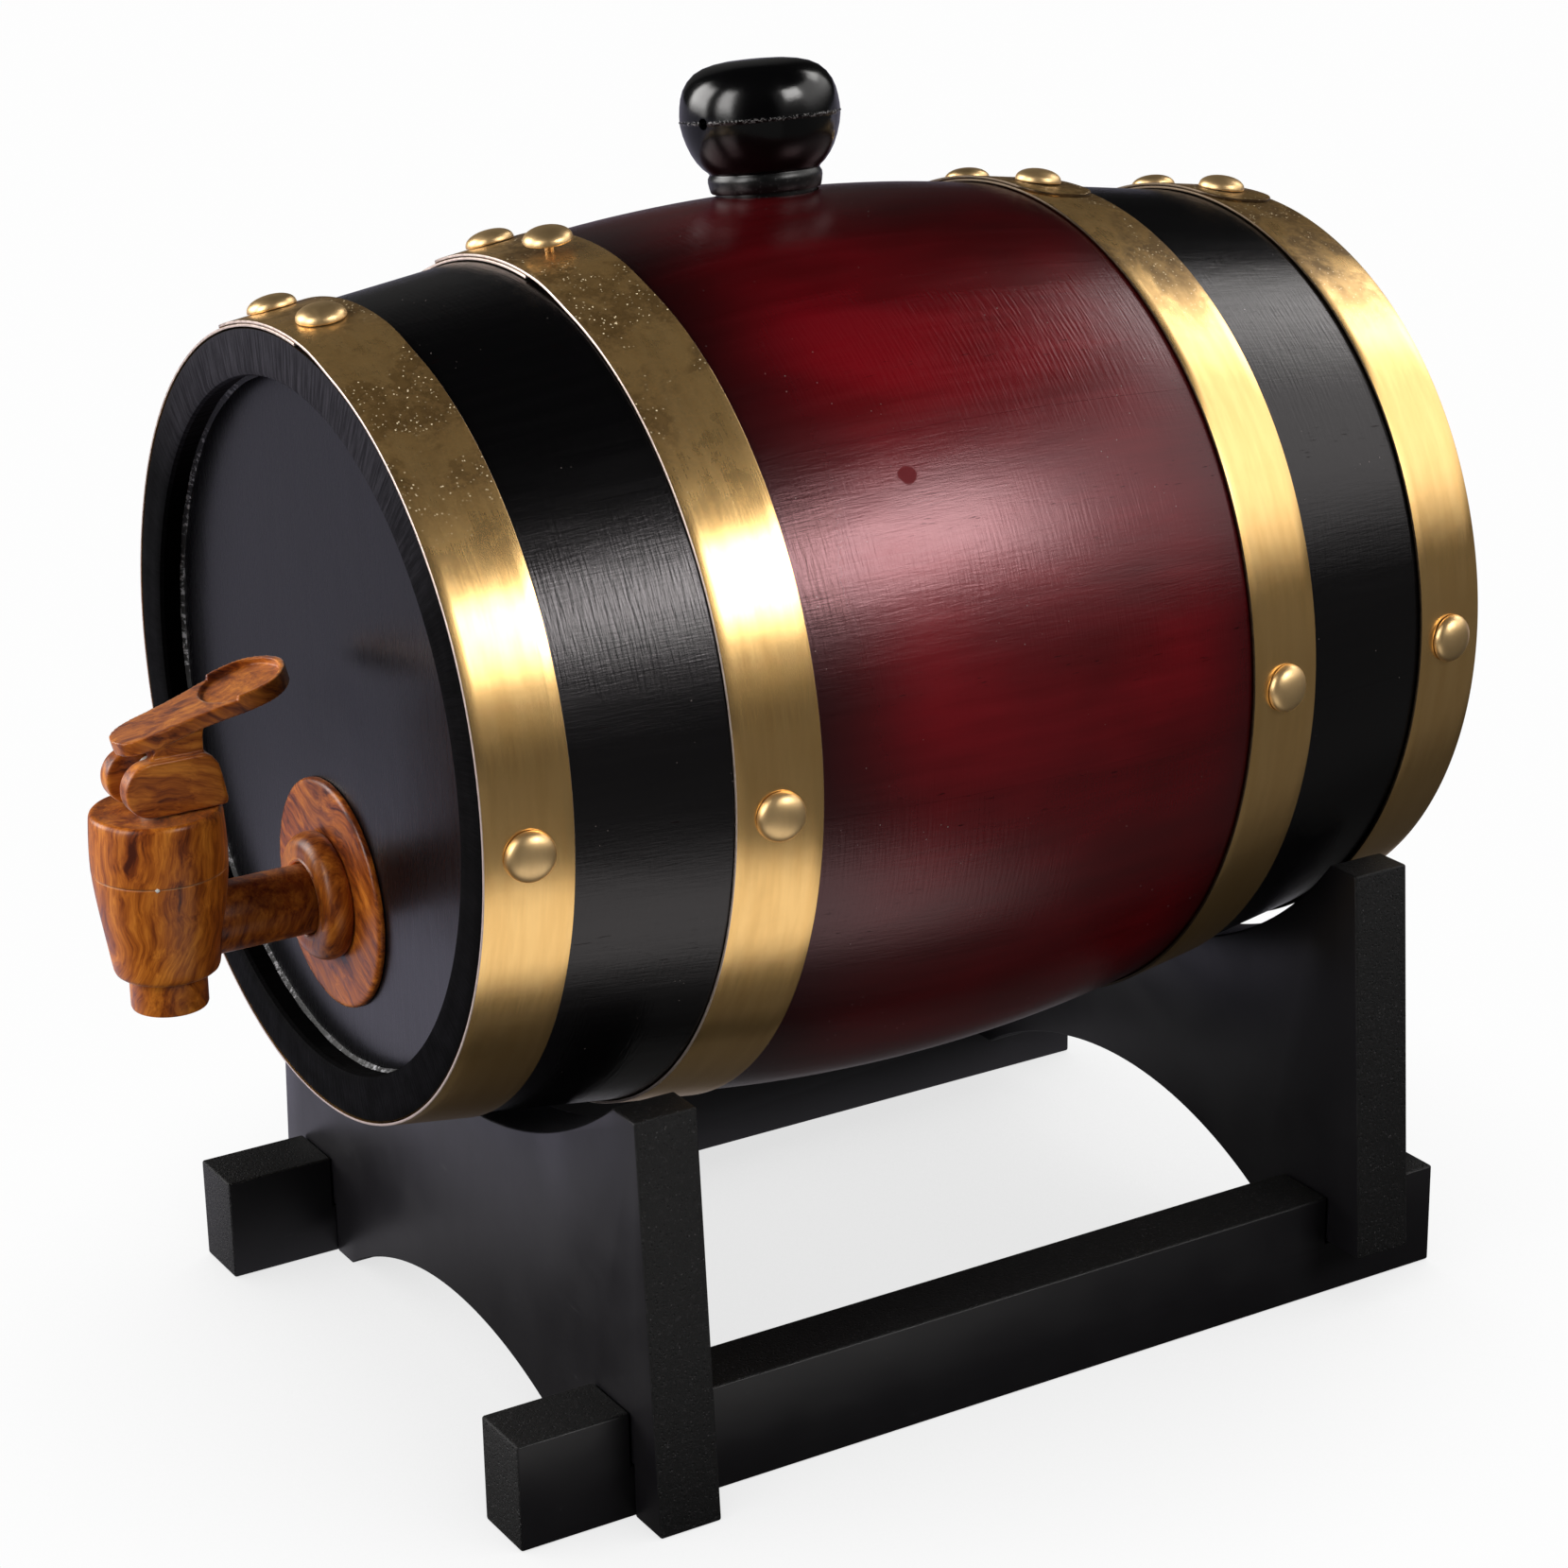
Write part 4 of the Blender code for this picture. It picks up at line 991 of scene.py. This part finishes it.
def build_tap_valve():
    cap = [
        (3.1, -10.75), (3.5, -10.6), (12.3, -10.62), (12.75, -10.55), (13.15, -10.65), (13.5, -11),
        (13.72, -11.6), (13.82, -12.6), (14, -15.4), (14.12, -18.4), (14.14, -20.6), (14.1, -22.9),
        (14.08, -23.3), (14, -23.4), (13.6, -23.42), (12.3, -23.42), (12.3, -15), (3.1, -15),
    ]
    bonnet = lathe("tap_bonnet_shaped", cap, TAP_CENTRE, "z", [GRAIN], 96, True, smooth=40)
    done(bonnet, "barrel", "tap_grain", "tap_bonnet")
    rod_profile = [
        (0, -41.8), (1.3, -41.8), (1.3, -40), (5.4, -40), (5.4, -38.6), (2.9, -38.6), (2.9, -1.6),
        (2.84, -1.1), (2.62, -0.6), (2.25, -0.15), (1.75, 0.2), (1.1, 0.45), (0, 0.6),
    ]
    stem = lathe("tap_stem_shaped", rod_profile, TAP_CENTRE, "z", [STEM], 56, smooth=50)
    drill(stem, STEM, PIN_HOLE, (-9, 9), PIN_LINE, "x", 32)
    done(stem, "stem", "tap_white", "tap_stem")
    ring = rounded([(1.5, -42), (1.5, -40.2), (6.6, -40.2), (6.6, -42)], 0.35)
    seal = lathe("tap_valve_seal_shaped", ring, TAP_CENTRE, "z", [RUBBER], 64, True)
    done(seal, "valve", "tap_rubber", "tap_valve_seal")
    pin_profile = [(0, -6.2), (0.75, -6.2), (1, -5.9), (1, 5.9), (0.75, 6.2), (0, 6.2)]
    pin = lathe("tap_lever_pin_shaped", pin_profile, PIN_LINE, "x", [STEEL], 40)
    done(pin, "stem", "tap_steel", "tap_lever_pin")


def build_spring():
    """Wire spring between stem flange and bonnet, built at one length; the real spring shortens as the valve
    lifts.
    """
    turns, per_turn, sides = 7, 40, 10
    wire, coil, dead_coil = 0.45, 4.6, 0.95
    bottom, top = -37.8, -15.9
    rings = []
    for step in range(turns * per_turn + 1):
        turn = step / per_turn
        if turn < 1:
            rise = dead_coil * turn
        elif turn > turns - 1:
            rise = top - bottom - dead_coil * (turns - turn)
        else:
            rise = dead_coil + (top - bottom - 2 * dead_coil) * (turn - 1) / (turns - 2)
        swing = 2 * pi * turn
        ring = []
        for side in range(sides):
            spin = 2 * pi * side / sides
            reach = coil + wire * cos(spin)
            ring.append((reach * cos(swing), TAP_Y + reach * sin(swing),
                         level(bottom + rise + wire * sin(spin))))
        rings.append(ring)
    spring = skin("tap_spring_shaped", rings, [STEEL], None, 60, True)
    done(spring, "barrel", "tap_steel", "tap_spring")
    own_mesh(spring)


def build_gate_mark():
    """A crumb of flash left where the cup was cut from its moulding runner."""
    turn = radians(66)
    centre = Vector((14.1 * sin(turn), TAP_Y - 14.1 * cos(turn), level(CUP_JOINT)))
    ball = bmesh.new()
    bmesh.ops.create_icosphere(ball, subdivisions=3, radius=1)
    ball.verts.index_update()
    points = [tuple(centre + vert.co * (0.36 + 0.3 * noise.noise(vert.co * 1.9))) for vert in ball.verts]
    faces = [[vert.index for vert in face.verts] for face in ball.faces]
    ball.free()
    done(make("tap_gate_mark", points, faces, [STEM], None, 60), "barrel", "tap_white")


def smooth_widths(widths, steps):
    """Points on a smooth curve through (along, half width) pairs."""
    found = []
    for i in range(len(widths) - 1):
        before = Vector(widths[max(i - 1, 0)])
        start = Vector(widths[i])
        end = Vector(widths[i + 1])
        after = Vector(widths[min(i + 2, len(widths) - 1)])
        for step in range(steps):
            t = step / steps
            point = (start * 2 + (end - before) * t
                     + (before * 2 - start * 5 + end * 4 - after) * t * t
                     + (start * 3 - before - end * 3 + after) * t * t * t) * 0.5
            found.append((point.x, max(point.y, 0)))
    found.append(widths[-1])
    return found


def side_view(name, outline, half):
    """A lever part from its (y, height) outline and half its width."""
    return prism(name, [(y, level(height)) for y, height in outline], "x", -half, half, [GRAIN_LEVER])


def cut_slot(lever, top):
    """Clear the slot for the stem up to a height."""
    outline = [(-175, -14), (-148.6, -14), (-148.6, top), (-175, top)]
    combine(lever, side_view("slot", outline, SLOT_HALF), "DIFFERENCE")


def build_lever():
    cheek = [(-143.3, -10.3), (-142.6, -9.4), (-143.6, -4), (-144.3, -1.2), (-145.6, 0.6), (-147, 1.5)]
    cheek += arc((-158.9, -4.4), 5.9, 90, 270, 24)
    lever = side_view("tap_lever_shaped", cheek, 7.4)
    cut_slot(lever, 8)
    bevel(lever, 1.5, 5, 30)
    neck = [(-146.9, 0.5), (-146.9, 5), (-146, 8.6), (-157, 5.8), (-157.4, 3.2), (-159, 0.8)]
    combine(lever, side_view("neck", neck, 5.9), "UNION")
    cut_slot(lever, 1.9)
    tip_y, thick, tilt = -164.4, 3.1, 14.7
    top = level(5.3)
    hinge = (0, tip_y, top)
    body = [(0, 0), (0.4, 2.2), (1.2, 3.7), (3, 5.2), (5.2, 6), (8.7, 6.4), (13.6, 6.6)]
    body += [(17.3, 7), (21.7, 7.75)]
    pad = [(25.6, 8.6), (28, 9), (31, 9.05), (34, 8.3), (36.4, 6.7), (38.4, 4.2), (39.4, 1.9)]
    pad += [(39.6, 0)]
    for name, widths, rise in (("paddle", body + pad, 0), ("rim", pad, 0.9)):
        curve = smooth_widths(widths, 5)
        outline = [(half, tip_y + along) for along, half in curve]
        outline += [(-half, tip_y + along) for along, half in curve[::-1] if half > 0]
        slab = prism(name, outline, "z", top - thick, top + rise, [GRAIN_LEVER])
        combine(lever, turned(slab, tilt, "X", hinge), "UNION")
    floor = top - 1.1
    dish = arc((0, tip_y + 30.3), 8.05, 0, 180, 36)
    dish += arc((0, tip_y + 28.8), 8.05, 180, 360, 36)
    hollow = prism("hollow", dish, "z", floor, top + 4, [GRAIN_LEVER])
    turned(hollow, 1.8, "X", (0, tip_y + 20.7, floor))
    combine(lever, turned(hollow, tilt, "X", hinge), "DIFFERENCE")
    drill(lever, GRAIN_LEVER, PIN_HOLE, (-6.6, 6.6), PIN_LINE, "x", 32)
    remesh = lever.modifiers.new("moulded", "REMESH")
    remesh.mode = "VOXEL"
    remesh.voxel_size = 0.26 * MM
    smooth = lever.modifiers.new("eased", "SMOOTH")
    smooth.factor = 0.5
    smooth.iterations = 5
    applied(lever, None)
    lever.data.materials.clear()
    lever.data.materials.append(GRAIN_LEVER)
    done(lever, "lever", "tap_grain", "tap_lever")


# ---- Stand
def span(node, axis):
    """Lowest and highest value of a CAD node's box along an axis, in this script's millimetres."""
    start = MIDDLE_Y if axis == 1 else 0
    return [(corner[axis] - start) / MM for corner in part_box(node)]


def finish_board(made, width, axis, node):
    """Ease the edges; faces square to the axis are painted and the rest are sawn edges."""
    bevel(made, width)
    for polygon in made.data.polygons:
        polygon.material_index = 0 if abs(polygon.normal[axis]) > 0.8 else 1
    done(made, "stand", "stand_black", node)


def board_outline(top, touch_y, foot):
    """Outline of a cradle board that touches the barrel at touch_y and starts at foot."""
    saddle_low = AXIS_Z - outer_radius(touch_y) - STAND_FIT
    depth = top - saddle_low
    saddle = (SADDLE_HALF ** 2 + depth ** 2) / (2 * depth)
    swing = math.degrees(asin(SADDLE_HALF / saddle))
    arch = (ARCH_HALF ** 2 + ARCH_RISE ** 2) / (2 * ARCH_RISE)
    arch_swing = math.degrees(asin(ARCH_HALF / arch))
    outline = [(-BOARD_FOOT_HALF, foot), (-ARCH_HALF, foot)]
    outline += arc((0, foot + ARCH_RISE - arch), arch, 90 + arch_swing, 90 - arch_swing, 40)[1:-1]
    outline += [(ARCH_HALF, foot), (BOARD_FOOT_HALF, foot), (BOARD_TOP_HALF, top)]
    outline += arc((0, saddle_low + saddle), saddle, 270 + swing, 270 - swing, 64)
    outline += [(-BOARD_TOP_HALF, top)]
    return outline


def build_stand():
    front_low, front_high = span("front_cradle_board", 1)
    rear_low, rear_high = span("rear_cradle_board", 1)
    boards = (
        ("front_cradle_board", front_low, front_high, front_high, 0),
        ("rear_cradle_board", rear_low, rear_high, rear_low, 13),
    )
    for name, low, high, touch_y, foot in boards:
        outline = board_outline(span(name, 2)[1], touch_y, foot)
        board = prism(name + "_shaped", outline, "y", low, high, [BOARD_FACE, BOARD_EDGE])
        if foot == 0:
            for side in (-1, 1):
                a, b = sorted(side * edge for edge in NOTCH_SIDES)
                notch = [(a, -5), (b, -5), (b, NOTCH_RISE), (a, NOTCH_RISE)]
                cutter = prism("notch", notch, "y", low - 5, high + 5, [BOARD_FACE])
                combine(board, cutter, "DIFFERENCE")
        finish_board(board, 0.55, 1, name)
    front_low, front_high = front_low - STAND_FIT, front_high + STAND_FIT
    rear_low, rear_high = rear_low - STAND_FIT, rear_high + STAND_FIT
    for name in ("left_rail", "right_rail"):
        left, right = span(name, 0)
        start, end = span(name, 1)
        top = span(name, 2)[1]
        outline = [
            (start, 0), (end, 0), (end, top), (rear_high, top), (rear_high, 12.7), (rear_low, 12.7),
            (rear_low, top), (front_high, top), (front_high, 11.9), (front_low, 11.9), (front_low, top),
            (start, top),
        ]
        rail = prism(name + "_shaped", outline, "x", left, right, [BOARD_FACE, BOARD_EDGE])
        finish_board(rail, 0.6, 0, name)


build_staves()
build_heads()
build_hoops_and_nails()
build_bung()
build_tap_body()
build_tap_collars()
build_tap_valve()
build_spring()
build_gate_mark()
build_lever()
build_stand()


# ---- Floor, light and camera.  Lengths here are in metres.
PLAIN_WHITE = 0.985
# Soft boxes: where their edges begin and end, round the studio and above the horizon, in degrees,
# and their strength.
PANELS = [
    ((6, 16, 34, 46), (20, 30, 38, 46), 11),
    ((80, 91, 106, 114), (24, 31, 39, 46), 3.4),
    ((-100, -92, -76, -68), (0, 16, 36, 48), 9),
    ((-158, -146, -120, -110), (-6, 12, 30, 44), 8),
    ((32, 50, 106, 116), (2, 20, 38, 46), 1.55),
    ((-10, 8, 34, 52), (0, 26, 38, 46), 0.45),
    ((138, 152, 178, 180), (-8, 2, 26, 42), 0.06),
]
ROOM_LIGHT = 0.01
FLOOR_HALF = 20
FLOOR_Z = -0.0002
# Azimuth from the tap end, elevation from upright, and roll, in degrees.
CAMERA_TURNS = ((59.006, "Z"), (90 - 19.697, "X"), (-1.025, "Z"))
CAMERA_AIM = (53.668, -38.084, 142.79)
CAMERA_DISTANCE = 0.782178


def falloff(s, value, start, end):
    """One below start, nothing above end."""
    return s.spread(value, start, end, 1, 0)


def window(s, value, edges):
    """One between the two inner edges, nothing outside the outer ones, which are in degrees."""
    edges = [radians(edge) for edge in edges]
    return s.spread(value, edges[0], edges[1]) * falloff(s, value, edges[2], edges[3])


def build_floor():
    """A floor that looks white with a faint contact shadow, and lights the object only weakly."""
    s = Shader("pale_floor")
    shade = s.node("ShaderNodeAmbientOcclusion", {"Distance": 0.16}, samples=8)
    open_sky = s.spread(shade.outputs["AO"], 0, 0.85, 0.72, 1, "LINEAR")
    white = s.mix(open_sky, (0, 0, 0), (1, 1, 1))
    seen = s.node("ShaderNodeEmission", {"Color": white, "Strength": PLAIN_WHITE})
    x, y, _ = s.parts(s.position())
    along = y - (MIDDLE_Y - 0.09)
    reach = s.distance(x - 0.17, along)
    near = falloff(s, reach, 0.1, 0.21) * 0.86 * s.spread(x, 0.125, 0.165)
    left = falloff(s, x, -0.14, 0) * s.spread(x, -0.42, -0.22, 0.25, 0.62)
    rest = s.spread(along, 0.06, 0.16, 0.14, 0.09) * s.spread(x, 0.1, 0.16, 0.35, 1)
    tint = s.mix(falloff(s, x, -0.2, 0.05), (1, 0.98, 0.95), (0.92, 0.88, 1.12))
    dim = s.node("ShaderNodeEmission", {"Color": tint, "Strength": s.math("MAXIMUM", near, left) + rest})
    s.split(dim, seen, "Material Output")
    mesh = bpy.data.meshes.new("floor")
    corners = [(x * FLOOR_HALF, y * FLOOR_HALF, FLOOR_Z) for x, y in ((-1, -1), (1, -1), (1, 1), (-1, 1))]
    mesh.from_pydata(corners, [], [[0, 1, 2, 3]])
    mesh.materials.append(s.material)
    floor = bpy.data.objects.new("floor", mesh)
    bpy.context.scene.collection.objects.link(floor)


class Sky(Shader):
    """The same node helpers on a world."""

    def __init__(self, name):
        world = bpy.data.worlds.new(name)
        world.use_nodes = True
        self.tree = world.node_tree
        bpy.context.scene.world = world


def build_world():
    """A dark studio with soft boxes; the camera itself sees plain white."""
    s = Sky("studio")
    x, y, z = s.parts(s.value("ShaderNodeTexCoord", "Generated"))
    turn = s.math("ARCTAN2", y, x)
    rise = s.math("ARCSINE", z)
    light = ROOM_LIGHT
    for sides, heights, strength in PANELS:
        light = window(s, turn, sides) * window(s, rise, heights) * strength + light
    back = s.tree.nodes["Background"]
    s.feed(back.inputs[0], (1, 0.985, 0.965))
    s.feed(back.inputs[1], light)
    seen = s.node("ShaderNodeBackground", {0: (1, 1, 1), 1: PLAIN_WHITE})
    s.split(back, seen, "World Output")


def build_camera():
    data = bpy.data.cameras.new("camera")
    data.sensor_width = 36
    data.lens = 86.06
    data.clip_start = 0.05
    data.clip_end = 50
    camera = bpy.data.objects.new("camera", data)
    bpy.context.scene.collection.objects.link(camera)
    matrix = Matrix.Translation(place(CAMERA_AIM))
    for degrees, axis in CAMERA_TURNS:
        matrix = matrix @ Matrix.Rotation(radians(degrees), 4, axis)
    camera.matrix_world = matrix @ Matrix.Translation((0, 0, CAMERA_DISTANCE))
    bpy.context.scene.camera = camera


build_floor()
build_world()
build_camera()
bpy.context.scene.view_settings.view_transform = "Standard"
bpy.context.scene.view_settings.look = "None"
